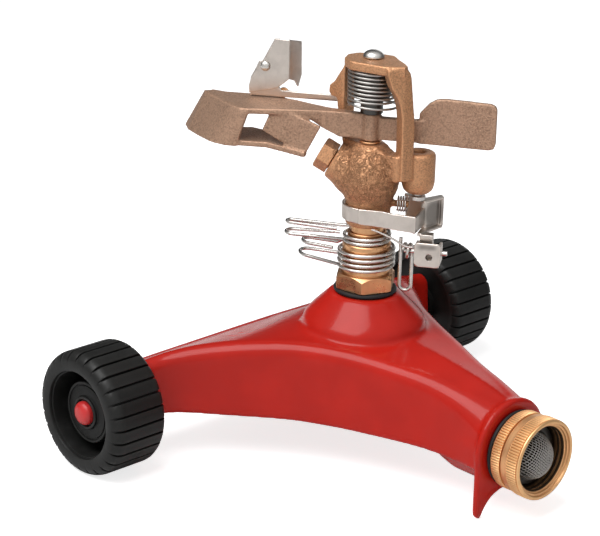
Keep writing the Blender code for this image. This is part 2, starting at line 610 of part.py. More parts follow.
def make_arm(bronze, steel, head):
    """The impact arm with its vane, hub and spoon, and the coil spring that brings it back."""
    plan = [(-31, -8), (-31, 7), (-24, 3.9), (-17.5, 2), (-10, 1.6), (4, 1.6), (22, 1.6), (22, -1.9),
            (4, -1.9),
            (-6, -2.4), (-20, -4.8)]
    arm = add_object("impact_arm", prism("impact_arm", plan, 134.9, 147), bronze, head)
    side = [(-31.2, 144.4), (-24, 142.6), (-19.5, 139.4), (-12.5, 135.8), (-5, 135.3), (22.5, 135.3),
            (22.5, 144.8),
            (5, 144.8), (-4, 145.9), (-17, 146.6), (-31.2, 147)]
    combine(arm, "INTERSECT", "arm side", prism("arm side", side, -20, 20, standing()), head)
    hub = [(0, 135), (4, 135), (4, 146.2), (0, 146.2)]
    combine(arm, "UNION", "arm hub", turned("arm hub", hub, 24), head)
    vane = [(19.8, 134.9), (48.6, 134.3), (50.6, 135), (51.3, 137), (51.2, 151.4), (50.4, 152.8),
            (48.8, 153.6),
            (30.5, 154.3), (26.5, 153.8), (23.6, 152), (19.8, 147.6)]
    combine(arm, "UNION", "vane", prism("vane", vane, -1.3, 1.3, standing()), head)
    for name, outline, low, high, place in spoon_plates():
        combine(arm, "UNION", name, prism(name, outline, low, high, place), head)
    combine(arm, "UNION", "outer vane", outer_vane_mesh(), head)
    inner = [(-43.8, 137.5), (-40.6, 145.2), (-31, 145.2), (-24, 142.6), (-19.5, 140.7), (-25.4, 128.9),
             (-27.4, 128.5)]
    combine(arm, "UNION", "inner vane", prism("inner vane", inner, 6.6, 8.4, standing()), head)
    hole = [(0, 130), (PIN_RADIUS / MM + 0.3, 130), (PIN_RADIUS / MM + 0.3, 150), (0, 150)]
    combine(arm, "DIFFERENCE", "hub bore", turned("hub bore", hole, 20), head)
    points = []
    for step in range(81):
        angle = math.radians(200) + 2 * math.pi * step / 10
        points.append((9.9 * math.cos(angle), 9.9 * math.sin(angle), 164.6 - 1.67 * step / 10))
    for step in range(1, 10):
        angle = math.radians(200) + 2 * math.pi * step / 10
        spread = 9.9 + 0.8 * math.sin(math.pi * min(step, 5) / 10)
        points.append((spread * math.cos(angle), spread * math.sin(angle), 151.24 - 3.4 * step / 9))
    wire("arm_spring", points, 0.5 * MM, steel, head)
    print("arm_spring least gap to itself, mm:", round(least_gap(points, 1.0), 2))
    return arm


def spoon_plates():
    """The top and bottom plates of the arm's spoon, as outlines with their heights."""
    top = [(-30.6, -7.9), (-42, -10), (-49.5, -11.3), (-52.4, -10.2), (-60.6, -2.2), (-66, 3.4), (-71, 9.2),
           (-70.4, 14.6), (-64, 12.6), (-53.8, 12.8), (-43, 12.2), (-37, 9.4), (-30.6, 7)]
    flat = [(-42, -10.2), (-54, -10.6), (-58.8, -10.4), (-66, -5.4), (-71.8, 0.4), (-64, 8), (-52, 11),
            (-42, 6.6)]
    slope = [(-25.6, -9.4), (-33, -9.6), (-42.3, -10.2), (-42.3, 6.6), (-36, 3), (-30, -2), (-25.4, -5.6)]
    lean = Matrix.Identity(4)
    lean[2][0] = -0.2
    lean[2][3] = -8.3 * MM
    return [("spoon top", top, 144.6, 147, None), ("spoon bottom", flat, 130.6, 133, None),
            ("spoon bottom slope", slope, 130.6, 133, lean)]


def outer_vane_mesh():
    """The outer vane: a curved plate square to the jet, leaning outwards towards its lower edge."""
    upper_path = [(-48.6, -10.6), (-52, -9.9), (-56, -7), (-60.5, -2), (-65, 3), (-71, 9.6), (-72.2, 13)]
    lower_path = [(-54, -9.9), (-58.8, -9.8), (-62.8, -7.9), (-66.3, -5.4), (-72, 0.5), (-78.2, 8),
                  (-81.3, 15.6)]
    wall = 2.2
    bm = bmesh.new()
    rings = []
    for share, height in ((0.0, 146.8), (0.5, 138.6), (1.0, 130.4)):
        path = [Vector(a).lerp(Vector(b), share) for a, b in zip(upper_path, lower_path)]
        outline = bent_strip(path, wall)
        rings.append([bm.verts.new((x * MM, y * MM, height * MM)) for x, y in outline])
    for upper, lower in zip(rings, rings[1:]):
        for k in range(len(upper)):
            n = (k + 1) % len(upper)
            bm.faces.new((upper[k], upper[n], lower[n], lower[k]))
    bm.faces.new(rings[0])
    bm.faces.new(rings[-1])
    return mesh_from("outer vane", bm)


def make_deflector(steel, brass, head):
    """The jet deflector: a strip on the yoke, and a folded flap riveted to its upright."""
    strip = [(-14.2, 147.5), (-14.2, 150), (-39.4, 150.3), (-41, 152.4), (-42.4, 162.4), (-49, 162.4),
             (-50.6, 158.8),
             (-52.6, 155), (-52.6, 147.5)]
    bracket = add_object("deflector_bracket", prism("deflector_bracket", strip, -9.3, -8.1, standing()),
                         steel, head)
    hole = [(0, 5), (1.35, 5), (1.35, 12), (0, 12)]
    pin_place = along_y(RIVET_X, 0, RIVET_Z)
    combine(bracket, "DIFFERENCE", "rivet hole", turned("rivet hole", hole, 16, pin_place), head)
    combine(bracket, "DIFFERENCE", "screw hole", turned("screw hole", hole, 16,
                                                        along_y(-38.8 * MM, 0, 149 * MM)), head)
    sheet = [(-42.4, 172.3), (-36.1, 172.2), (-36.1, 155.6), (-38.2, 153.7), (-41.1, 151.4), (-52.8, 148.6),
             (-53, 152), (-52.2, 155), (-48.8, 160.8), (-47.9, 161.6)]
    flap = add_object("deflector_flap", prism("deflector_flap", sheet, -7.8, -6.8, standing()), steel, head)
    wing = [(0, 172.2), (6.8, 170.6), (7.2, 156.4), (5.4, 151.4), (3.6, 154.2), (0, 155.6)]
    wing_place = Matrix.Translation((-36.5 * MM, 7.4 * MM, 0)) @ standing(math.radians(53))
    combine(flap, "UNION", "folded wing", prism("folded wing", wing, -0.5, 0.5, wing_place), head)
    combine(flap, "DIFFERENCE", "flap hole", turned("flap hole", hole, 16, pin_place), head)
    rivet = [(0, 5.4), (1.2, 5.6), (1.9, 6.1), (2.1, 6.5), (1.05, 6.5), (1.05, 9.6), (2.1, 9.6),
             (1.7, 10.4), (0, 10.6)]
    add_object("deflector_rivet", turned("deflector_rivet", rivet, 20, pin_place), steel, head)
    screw = [(0, 7.9), (1.05, 7.9), (1.05, 9.6), (1.6, 9.6), (1.6, 11), (1.1, 11.8), (0, 12)]
    add_object("deflector_screw", turned("deflector_screw", screw, 20, along_y(-38.8 * MM, 0, 149 * MM)),
               brass, head)


def make_trip(steel, head):
    """The trip under the side boss: strap, bracket, pins, springs, the block and its wire finger."""
    front = [(-2.2, 101.4), (-2.2, 107.9), (8, 107.8), (12, 107.2), (21.6, 106.6), (21.6, 99.6), (12, 100.4),
             (4, 101.2)]
    bracket = add_object("trip_bracket", prism("trip_bracket", front, 9.9, 11.1, standing()), steel, head)
    wrap = []
    for step in range(12):
        turn = math.radians(152 + 10.2 * step)
        wrap.append((10.3 * math.cos(turn), 10.3 * math.sin(turn)))
    combine(bracket, "UNION", "strap wrap", prism("strap wrap", bent_strip(wrap + [(0.4, -10.45)], 1.1),
                                                  101.4, 107.9), head)
    link = bent_strip([(20.9, -10.5), (21.7, -6), (22.3, -1), (22.9, 3.6)], 1.2)
    combine(bracket, "UNION", "strap return", prism("strap return", link, 99.2, 106.3), head)
    rear = bent_strip([(14.6, 9.4), (22.4, 3.2), (23.6, 3.2), (29.2, 10.2)], 1.2)
    combine(bracket, "UNION", "bracket rear", prism("bracket rear", rear, 97.4, 110.2), head)
    rim = bent_strip([(28.6, 10.4), (30, 8)], 1.3)
    combine(bracket, "UNION", "bracket rim", prism("bracket rim", rim, 97.6, 110.1), head)
    shelf = [(14, 8.8), (14, 6.8), (23.2, -0.6), (23.8, -0.6), (30.4, 7.8), (29.2, 10.8), (23, 4.6),
             (20, 6.6)]
    combine(bracket, "UNION", "bracket top", prism("bracket top", shelf, 109.3, 110.5), head)
    floor = [(21.6, -5.4), (23.2, -5.4), (24.6, -1.9), (30.3, 7.8), (29, 10.6), (22.4, 4)]
    combine(bracket, "UNION", "bracket floor", prism("bracket floor", floor, 96.8, 98), head)
    combine(bracket, "UNION", "hanger", box("hanger", (22.8, -5.7, 86.8), (28.2, -1.3, 97.5)), head)
    place = Matrix.Translation((20.3 * MM, 0.2 * MM, 0))
    cross = along_x(0, TRIP_AXIS_Y, TRIP_AXIS_Z)
    pin_hole = [(0, 20), (1.3, 20), (1.3, 34), (0, 34)]
    combine(bracket, "DIFFERENCE", "hanger bore", turned("hanger bore", pin_hole, 20, cross), head)
    boss_pin = [(0, 110.9), (3.4, 110.9), (3.4, 112.6), (2, 112.6), (2, 129), (0, 129)]
    add_object("boss_pin", turned("boss_pin", boss_pin, 20, place), steel, head)
    pivot = [(0, 16.2), (1, 16.2), (1, 34.3), (0, 34.3)]
    add_object("trip_pivot_pin", turned("trip_pivot_pin", pivot, 20, cross), steel, head)
    face = [(21.2, 86), (22.6, 84.6), (30.8, 84.6), (32, 85.8), (32, 94), (31, 95), (22.2, 95), (21.2, 94)]
    block = add_object("trip_block", prism("trip_block", face, 7.8, 9, standing()), steel, head)
    for name, low, high in (("left cheek", 21.2, 22.4), ("right cheek", 30.8, 32)):
        combine(block, "UNION", name, box(name, (low, -8.4, 85.8), (high, -1.2, 93.6)), head)
    combine(block, "UNION", "block floor", box("block floor", (21.6, -8.4, 84.6), (31.6, -4, 85.8)), head)
    combine(block, "DIFFERENCE", "cheek bores", turned("cheek bores",
                                                       [(0, 18), (1.3, 18), (1.3, 36), (0, 36)], 20,
                                                       cross), head)
    window = along_y(27.4 * MM, 0, 89 * MM)
    combine(block, "DIFFERENCE", "block hole", turned("block hole",
                                                      [(0, -12), (1.3, -12), (1.3, -7), (0, -7)], 16,
                                                      window), head)
    wire("trip_finger", finger_points(), 0.75 * MM, steel, head)
    spring = []
    for step in range(41):
        angle = math.radians(-90) + 2 * math.pi * step / 9
        spring.append((11.9 + 1.04 * step / 9, 0.5 + 3.1 * math.cos(angle), 108.2 + 3.1 * math.sin(angle)))
    wire("trip_spring", spring, 0.3 * MM, steel, head)
    over = [(3.4, -9.9, 99.4), (7.4, -9.9, 98.2), (12.6, -9.8, 96), (16.4, -9.7, 93.9), (18.4, -9.6, 93.2),
            (20.6, -9.3, 93)]
    wire("over_centre_wire", over, 0.45 * MM, steel, head)
    for label, points, thickness in (("trip_finger", finger_points(), 1.5), ("trip_spring", spring, 0.6)):
        print(label, "least gap to itself, mm:", round(least_gap(points, thickness), 2))


def finger_points():
    """The trip's wire finger: a hanging hairpin whose right leg winds round the pivot pin."""
    level = TRIP_AXIS_Y / MM + 2.7
    left = 14.45
    right = 19.3
    half = (right - left) / 2
    points = [(left, level, 94), (left, level, 84), (left, level, 73.4)]
    for step in range(1, 6):
        turn = math.pi * step / 6
        points.append((left + half * (1 - math.cos(turn)), level, 73.4 - half * math.sin(turn)))
    points += [(right, level, 73.4), (right, level, 82)]
    for step in range(14):
        turn = 2 * math.pi * step / 9
        points.append((right - 0.24 * step, TRIP_AXIS_Y / MM + 2.7 * math.cos(turn),
                       TRIP_AXIS_Z / MM + 2.7 * math.sin(turn)))
    return points


def main():
    for old in list(bpy.data.objects):
        bpy.data.objects.remove(old)
    red = material("red_paint", (0.62, 0.02, 0.012), 0.2, 0.0)
    black = material("black_moulding", (0.018, 0.018, 0.018), 0.6, 0.0)
    rubber = material("black_rubber", (0.012, 0.012, 0.012), 0.75, 0.0)
    brass = material("brass", (0.72, 0.43, 0.2), 0.3, 1.0)
    bronze = material("cast_bronze", (0.5, 0.29, 0.14), 0.5, 1.0)
    matte_bronze = material("matte_bronze", (0.46, 0.3, 0.22), 0.6, 1.0)
    steel = material("steel", (0.62, 0.6, 0.57), 0.3, 1.0)
    cap_red = material("red_cap", (0.7, 0.03, 0.03), 0.35, 0.0)
    head = bpy.data.objects.new("head_axis", None)
    bpy.context.scene.collection.objects.link(head)
    head.location = (0, RISER_Y, 0)
    head.rotation_euler = (0, 0, HEAD_ANGLE)
    make_base(red)
    make_wheels(black, steel, cap_red)
    make_coupling(brass, rubber, steel)
    make_bearing(brass, rubber)
    make_collars(steel, head)
    make_body(bronze, head)
    make_water_way(brass, head)
    make_fulcrum(steel, brass, head)
    make_arm(matte_bronze, steel, head)
    make_deflector(steel, brass, head)
    make_trip(steel, head)


main()
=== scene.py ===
"""Finished surfaces and studio for the impulse sprinkler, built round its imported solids.

Every piece is modelled where its solid is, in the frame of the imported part, and stands for it. Outlines
and profiles are in millimetres, the custom sizes in the sidebar are in metres. Pieces of the head are
drawn with the impact arm along X and the riser's axis at X = Y = 0, and are then turned into place.
"""

import json
import math

import bmesh
import bpy
from bpy.props import FloatProperty, FloatVectorProperty, IntProperty, PointerProperty
from mathutils import Matrix, Vector, noise


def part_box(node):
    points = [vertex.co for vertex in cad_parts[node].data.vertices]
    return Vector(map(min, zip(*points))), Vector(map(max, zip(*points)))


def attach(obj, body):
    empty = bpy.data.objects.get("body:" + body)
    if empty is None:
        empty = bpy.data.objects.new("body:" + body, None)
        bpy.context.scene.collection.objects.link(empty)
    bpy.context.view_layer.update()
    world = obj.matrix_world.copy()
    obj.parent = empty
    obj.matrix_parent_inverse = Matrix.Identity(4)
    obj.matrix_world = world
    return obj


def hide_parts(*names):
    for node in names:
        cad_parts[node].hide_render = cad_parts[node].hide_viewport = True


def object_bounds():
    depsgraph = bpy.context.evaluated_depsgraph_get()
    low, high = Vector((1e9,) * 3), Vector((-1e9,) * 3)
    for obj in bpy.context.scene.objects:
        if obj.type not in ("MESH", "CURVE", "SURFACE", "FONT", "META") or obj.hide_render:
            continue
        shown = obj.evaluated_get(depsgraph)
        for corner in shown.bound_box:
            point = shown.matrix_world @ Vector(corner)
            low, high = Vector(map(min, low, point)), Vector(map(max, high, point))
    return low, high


bl_info = {
    "name": "Impulse sprinkler",
    "version": (1, 0, 0),
    "blender": (4, 5, 0),
    "location": "View3D > Sidebar > Sprinkler",
    "description": "Finished surfaces of an impulse sprinkler on a wheeled base, and a studio for it",
    "category": "Object",
}

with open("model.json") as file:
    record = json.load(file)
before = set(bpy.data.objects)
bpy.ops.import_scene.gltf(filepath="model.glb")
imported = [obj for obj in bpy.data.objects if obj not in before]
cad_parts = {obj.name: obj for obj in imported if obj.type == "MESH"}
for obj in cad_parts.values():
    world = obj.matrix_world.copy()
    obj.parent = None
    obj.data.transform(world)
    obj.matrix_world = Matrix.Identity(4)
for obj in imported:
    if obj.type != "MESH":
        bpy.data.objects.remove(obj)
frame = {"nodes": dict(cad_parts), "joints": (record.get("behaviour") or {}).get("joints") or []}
CAD_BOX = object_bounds()
MM = 0.001


def joint_axis(name):
    """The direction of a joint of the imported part."""
    return Vector(next(joint["axis"] for joint in frame["joints"] if joint["name"] == name))


def middle(node):
    """The middle of a solid's box."""
    low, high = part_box(node)
    return (low + high) / 2


# Where the solids are
RISER_Y = middle("bearing_nut").y
TRIP_LINE = joint_axis("trip_flip")
AXLE = middle("axle_rod")
INLET_HEIGHT = middle("coupling_nut").z
COUPLING_FRONT, COUPLING_BACK = (corner.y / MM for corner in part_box("coupling_nut"))
WHEEL_INNER, WHEEL_OUTER = (corner.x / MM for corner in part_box("wheel_right"))
WHEEL_RADIUS = AXLE.z / MM
ROD_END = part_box("axle_rod")[1].x / MM
NUT_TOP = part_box("bearing_nut")[1].z / MM
FLANGE_FACE = RISER_Y / MM - 85.3

# Measures and places that pieces and finishes share, in millimetres, those of the head in its own frame
NUT_BOTTOM = 71.4
NUT_SHOULDER = 91.2
TUBE_RADIUS = 7.1
AXLE_HOLE = 3.3
SIDE_BOSS = (20.3, 0.2)
YOKE_LEG = (15, -7.4)
YOKE_LEG_TURN = math.radians(30)
TRIP_AXIS = (-3.5, 89.5)
TRIP_CHANNEL = (26.2, 6.4, 103.5)
BLOCK_HOLE = (27.4, -8.4, 89)
BLOCK_LIP = (26.6, -9, 93)
FINE_SKIN = 0.25


def shifted(x, y):
    """A shift across the ground, in millimetres."""
    return Matrix.Translation((x * MM, y * MM, 0))


RISER_PLACE = Matrix.Translation((0, RISER_Y, 0))
INLET_PLACE = Matrix.Translation((0, 0, INLET_HEIGHT))
HEAD_PLACE = RISER_PLACE @ Matrix.Rotation(math.atan2(TRIP_LINE.y, TRIP_LINE.x), 4, "Z")
BOSS_PLACE = HEAD_PLACE @ shifted(*SIDE_BOSS)


class BaseSizes(bpy.types.PropertyGroup):
    wall: FloatProperty(name="Wall", description="Thickness of the cast base's wall",
                        default=0.003, min=0.0015, max=0.005, unit="LENGTH")
    grain: FloatProperty(name="Surface step", description="Size of the faces that the base is skinned with",
                         default=0.0009, min=0.0005, max=0.003, unit="LENGTH")
    softness: IntProperty(name="Edge softness", description="How far the casting's edges are rounded off",
                          default=10, min=0, max=40)


class WheelSizes(bpy.types.PropertyGroup):
    lugs: IntProperty(name="Lugs", description="Lugs round the tread", default=28, min=8, max=60)
    groove: FloatProperty(name="Groove share", description="Share of the tread that is groove",
                          default=0.2, min=0.05, max=0.6, subtype="FACTOR")
    depth: FloatProperty(name="Groove depth", description="Depth of the tread grooves",
                         default=0.0015, min=0.0003, max=0.0025, unit="LENGTH")


class CouplingSizes(bpy.types.PropertyGroup):
    ridges: IntProperty(name="Ridges", description="Ridges round each knurled band",
                        default=92, min=24, max=160)
    ridge_depth: FloatProperty(name="Ridge depth", description="Depth of the knurling",
                               default=0.00045, min=0.0001, max=0.001, unit="LENGTH")
    mesh_pitch: FloatProperty(name="Mesh pitch", description="Distance between the strainer's wires",
                              default=0.00098, min=0.0005, max=0.002, unit="LENGTH")
    mesh_wire: FloatProperty(name="Mesh wire", description="Thickness of the strainer's wires",
                             default=0.0003, min=0.0001, max=0.0006, unit="LENGTH")


class HeadSizes(bpy.types.PropertyGroup):
    cast_grain: FloatProperty(name="Casting step",
                              description="Size of the faces that the castings are skinned with",
                              default=0.0005, min=0.0003, max=0.002, unit="LENGTH")
    wrinkle: FloatProperty(name="Wrinkle depth", description="Depth of the wrinkles in the body's cast skin",
                           default=0.00013, min=0.0, max=0.0006, unit="LENGTH")
    collar_wire: FloatProperty(name="Collar wire", description="Thickness of the friction collars' wire",
                               default=0.0015, min=0.001, max=0.002, unit="LENGTH")
    spring_wire: FloatProperty(name="Spring wire", description="Thickness of the arm spring's wire",
                               default=0.001, min=0.0006, max=0.0012, unit="LENGTH")
    wire_sides: IntProperty(name="Wire sides", description="Faces round a wire", default=14, min=6, max=32)


def colour_property(name, description, default):
    """A colour that can be changed in the sidebar."""
    return FloatVectorProperty(name=name, description=description, default=default, size=3,
                               min=0.0, max=1.0, subtype="COLOR")


class FinishColours(bpy.types.PropertyGroup):
    red_paint: colour_property("Red paint", "Glossy paint of the cast base", (0.53, 0.016, 0.009))
    wheel_black: colour_property("Wheel moulding", "Matte moulding of the wheels", (0.0095, 0.0095, 0.009))
    red_cap: colour_property("Axle caps", "Push caps on the axle", (0.62, 0.03, 0.03))
    rubber: colour_property("Rubber", "Gaskets and washers", (0.014, 0.014, 0.015))
    brass: colour_property("Brass", "Machined brass of the nut and tube", (0.70, 0.385, 0.195))
    coupling_brass: colour_property("Coupling brass", "Machined brass of the coupling", (0.87, 0.485, 0.23))
    cast_bronze: colour_property("Cast bronze", "Raw casting of the body", (0.51, 0.265, 0.138))
    matte_bronze: colour_property("Blasted bronze", "Blasted casting of the arm", (0.385, 0.24, 0.163))
    sheet_steel: colour_property("Sheet steel", "Plated sheet of the brackets", (0.62, 0.56, 0.51))
    wire_steel: colour_property("Wire steel", "Bright wire of the springs and collars", (0.60, 0.575, 0.545))


class StudioSettings(bpy.types.PropertyGroup):
    floor: colour_property("Floor", "Colour of the plain floor", (0.86, 0.86, 0.86))
    key_power: FloatProperty(name="Key lamp", description="Power of the large lamp",
                             default=18.0, min=0.0, unit="POWER")
    fill_power: FloatProperty(name="Fill lamp", description="Power of the side lamp",
                              default=0.15, min=0.0, unit="POWER")
    ambient: FloatProperty(name="Ambient", description="Strength of the light from all round",
                           default=0.25, min=0.0)


class Value:
    """What a node gives. Sums written with it become Math nodes."""

    def __init__(self, tree, socket):
        self.tree = tree
        self.socket = socket

    def maths(self, operation, first, second):
        return self.tree.node("ShaderNodeMath", {"operation": operation}, {0: first, 1: second})

    def __add__(self, other):
        return self.maths("ADD", self, other)

    def __sub__(self, other):
        return self.maths("SUBTRACT", self, other)

    def __rsub__(self, other):
        return self.maths("SUBTRACT", other, self)

    def __mul__(self, other):
        return self.maths("MULTIPLY", self, other)

    def __truediv__(self, other):
        return self.maths("DIVIDE", self, other)

    def larger(self, other):
        return self.maths("MAXIMUM", self, other)


class Tree:
    """A node tree in the making, with one method that adds any node to it."""

    def __init__(self, group):
        self.group = group
        self.nodes = group.nodes

    def node(self, kind, settings, sockets, output=0):
        """Add a node, set it up, feed its sockets, and return one of its outputs."""
        made = self.nodes.new(kind)
        for key, value in settings.items():
            setattr(made, key, value)
        for key, value in sockets.items():
            self.feed(made.inputs[key], value)
        return Value(self, made.outputs[output])

    def feed(self, socket, value):
        """Link a socket to a node's output, or give it a fixed value."""
        if isinstance(value, Value):
            self.group.links.new(value.socket, socket)
        else:
            socket.default_value = value

    def vector_maths(self, operation, first, second, output=0):
        return self.node("ShaderNodeVectorMath", {"operation": operation}, {0: first, 1: second}, output)

    def step(self, value, low, high, lowest=0.0):
        """Rise smoothly from the lowest level to 1 while the value goes from low to high."""
        return self.node("ShaderNodeMapRange", {"interpolation_type": "SMOOTHSTEP"},
                         {"Value": value, "From Min": low, "From Max": high, "To Min": lowest})


class Finish(Tree):
    """A material in the making, round its Principled shader."""

    def __init__(self, name, **surface):
        self.material = bpy.data.materials.new(name)
        self.material.use_nodes = True
        super().__init__(self.material.node_tree)
        self.shader = self.nodes["Principled BSDF"]
        for socket, value in surface.items():
            self.shader.inputs[socket.replace("_", " ")].default_value = value
        self.place = self.node("ShaderNodeTexCoord", {}, {}, "Object")

    def grain(self, size, detail=3.0, roughness=0.55, stretch=None, distortion=0.0):
        """Noise whose blotches are about this many millimetres across, stretched along the axes."""
        vector = self.vector_maths("MULTIPLY", self.place, stretch) if stretch else self.place
        return self.node("ShaderNodeTexNoise", {},
                         {"Vector": vector, "Scale": 1 / (size * MM), "Detail": detail,
                          "Roughness": roughness, "Distortion": distortion})

    def mix(self, share, first, second):
        """A colour between two others."""
        return self.node("ShaderNodeMix", {"data_type": "RGBA"}, {0: share, 6: first, 7: second}, 2)

    def height(self):
        """The height over the ground, in millimetres."""
        return self.node("ShaderNodeSeparateXYZ", {}, {0: self.place}, "Z") * (1 / MM)

    def reach(self, centre, axes=(1, 1, 1)):
        """The distance from a line or point, in millimetres: axes is 0 along the line and 1 across it."""
        away = self.vector_maths("SUBTRACT", self.place, tuple(centre))
        flat = self.vector_maths("MULTIPLY", away, axes)
        return self.node("ShaderNodeVectorMath", {"operation": "LENGTH"}, {0: flat}, "Value") * (1 / MM)

    def head_reach(self, point):
        """The distance from a point of the head, in millimetres."""
        return self.reach(HEAD_PLACE @ (Vector(point) * MM))

    def pointed(self, low, high):
        """How sharply the shape itself bends at a place."""
        return self.step(self.node("ShaderNodeNewGeometry", {}, {}, "Pointiness"), low, high)

    def worn_edges(self):
        """How far a place is on an outer edge."""
        return self.pointed(0.5, 0.56)

    def corner_shade(self):
        """How far a place is in an inner corner, the mask by which colour is darkened there as painted shade.
        """
        return 1 - self.pointed(0.42, 0.495)

    def bump(self, height, strength, distance):
        """Raise the surface by a height, in millimetres at its most."""
        normal = self.node("ShaderNodeBump", {},
                           {"Height": height, "Strength": strength, "Distance": distance * MM})
        self.feed(self.shader.inputs["Normal"], normal)

    def done(self, colour, roughness):
        """Feed the shader and return the finished material."""
        self.feed(self.shader.inputs["Base Color"], colour)
        self.feed(self.shader.inputs["Roughness"], roughness)
        return self.material


def shade(colour, factor):
    """A colour made lighter or darker, with its alpha."""
    return (*[min(1.0, part * factor) for part in colour], 1.0)


def red_paint(colour):
    """Thick gloss paint with a little orange peel."""
    finish = Finish("gloss_red_paint", Coat_Weight=0.14, Coat_Roughness=0.05, Specular_IOR_Level=0.25,
                    IOR=1.38)
    cloud = finish.grain(26, 3)
    tone = finish.mix(finish.step(cloud, 0.35, 0.7), shade(colour, 0.93), shade(colour, 1.06))
    # Painted shade: the paint is darker in inner corners.
    tone = finish.mix(finish.corner_shade() * 0.5, tone, shade(colour, 0.55))
    finish.bump(finish.grain(2.6, 2, 0.5), 0.12, 0.05)
    dust = finish.step(finish.grain(5, 5), 0.5, 0.8)
    return finish.done(tone, dust * 0.06 + 0.22)


def black_moulding(name, colour, grain_size, shine):
    """Moulded plastic or rubber: fine grain, a bloom of dust and polished edges."""
    finish = Finish(name, Specular_IOR_Level=0.24)
    bloom = finish.step(finish.grain(7, 5), 0.42, 0.75)
    edges = finish.worn_edges()
    tone = finish.mix(bloom * 0.6, shade(colour, 0.85), shade(colour, 1.6))
    tone = finish.mix(edges * 0.45, tone, shade(colour, 2.4))
    finish.bump(finish.grain(grain_size, 3), 0.35, 0.09)
    return finish.done(tone, bloom * 0.14 + shine - edges * 0.08)


def red_plastic(colour):
    """Smooth moulded plastic with faint swirl marks."""
    finish = Finish("red_cap_plastic", Specular_IOR_Level=0.5)
    swirl = finish.grain(3.5, 3)
    tone = finish.mix(swirl, shade(colour, 0.8), shade(colour, 1.15))
    finish.bump(finish.grain(0.7, 2), 0.2, 0.05)
    return finish.done(tone, swirl * 0.15 + 0.28)


def machined(name, colour, stretch, rough=0.22, dark_inside=None, metallic=1.0):
    """Turned or drawn metal: tool lines across the given direction, patchy tarnish, bright edges, painted
    corner shade.

    Where a radius is given, the metal is darkened as painted shade closer than that to the hose inlet's axis.
    """
    finish = Finish(name, Metallic=metallic)
    tarnish = finish.step(finish.grain(6, 5), 0.38, 0.72)
    lines = finish.grain(0.35, 3, 0.6, stretch)
    tone = finish.mix(tarnish * 0.55, shade(colour, 1.05), shade(colour, 0.68))
    tone = finish.mix(lines * 0.25, tone, shade(colour, 0.8))
    tone = finish.mix(finish.worn_edges() * 0.5, tone, shade(colour, 1.35))
    # Painted shade: darker in inner corners.
    tone = finish.mix(finish.corner_shade() * 0.75, tone, shade(colour, 0.25))
    finish.bump(lines, 0.35, 0.03)
    rough = tarnish * 0.14 + lines * 0.08 + rough
    if dark_inside is not None:
        # Painted shade: near black and rougher inside the coupling's mouth, close to the inlet's axis.
        radius = finish.reach((0, 0, INLET_HEIGHT), (1, 0, 1))
        mouth_shade = 1 - finish.step(radius, dark_inside - 0.25, dark_inside)
        tone = finish.mix(mouth_shade, tone, shade(colour, 0.035))
        rough = rough + mouth_shade * 0.35
    return finish.done(tone, rough)


def cast_metal(name, colour, sand, depth, rough, folded=False):
    """Cast metal: mottled colour, a sandy skin, burnished edges and painted shade in its hollows.

    The folded kind also has the crinkled skin of the body's bulb under the yoke, with painted shade in its
    creases.
    """
    finish = Finish(name, Metallic=0.62, Specular_IOR_Level=0.3)
    patches = finish.step(finish.grain(11, 4), 0.36, 0.68)
    specks = finish.grain(sand, 4, 0.7)
    tone = finish.mix(patches, shade(colour, 1.06), shade(colour, 0.88))
    tone = finish.mix(finish.step(specks, 0.4, 0.62), shade(colour, 1.3), tone)
    tone = finish.mix(finish.step(specks, 0.5, 0.68) * 0.4, tone, shade(colour, 0.55))
    tone = finish.mix(finish.worn_edges() * 0.5, tone, shade(colour, 1.5))
    # Painted shade: darker in inner corners.
    tone = finish.mix(finish.corner_shade() * 0.75, tone, shade(colour, 0.22))
    skin = specks * 0.7 + finish.grain(sand * 3, 5, 0.6) * 0.8
    if folded:
        height = finish.height()
        near = 1 - finish.step(finish.reach((0, RISER_Y, 0), (1, 1, 0)), 14.4, 16.2)
        bulb = near * finish.step(height, 106, 114) * (1 - finish.step(height, 130, 135))
        large = finish.grain(4.2, 4, 0.6, distortion=0.8) - 0.5
        small = finish.grain(2.1, 3, 0.6, distortion=0.6) - 0.5
        deep = 1 - finish.step(large * large, 0.0, 0.0016)
        fine = 1 - finish.step(small * small, 0.0, 0.002)
        crack = deep.larger(fine * 0.6)
        # Painted shade: the creases of the folds are darkened.
        tone = finish.mix(bulb * crack * 0.5, tone, shade(colour, 0.22))
        skin = skin + (finish.grain(1.6, 4, 0.6) - crack) * bulb * 1.6
    finish.bump(skin, 0.9, depth)
    return finish.done(tone, patches * 0.06 + specks * 0.16 + rough)


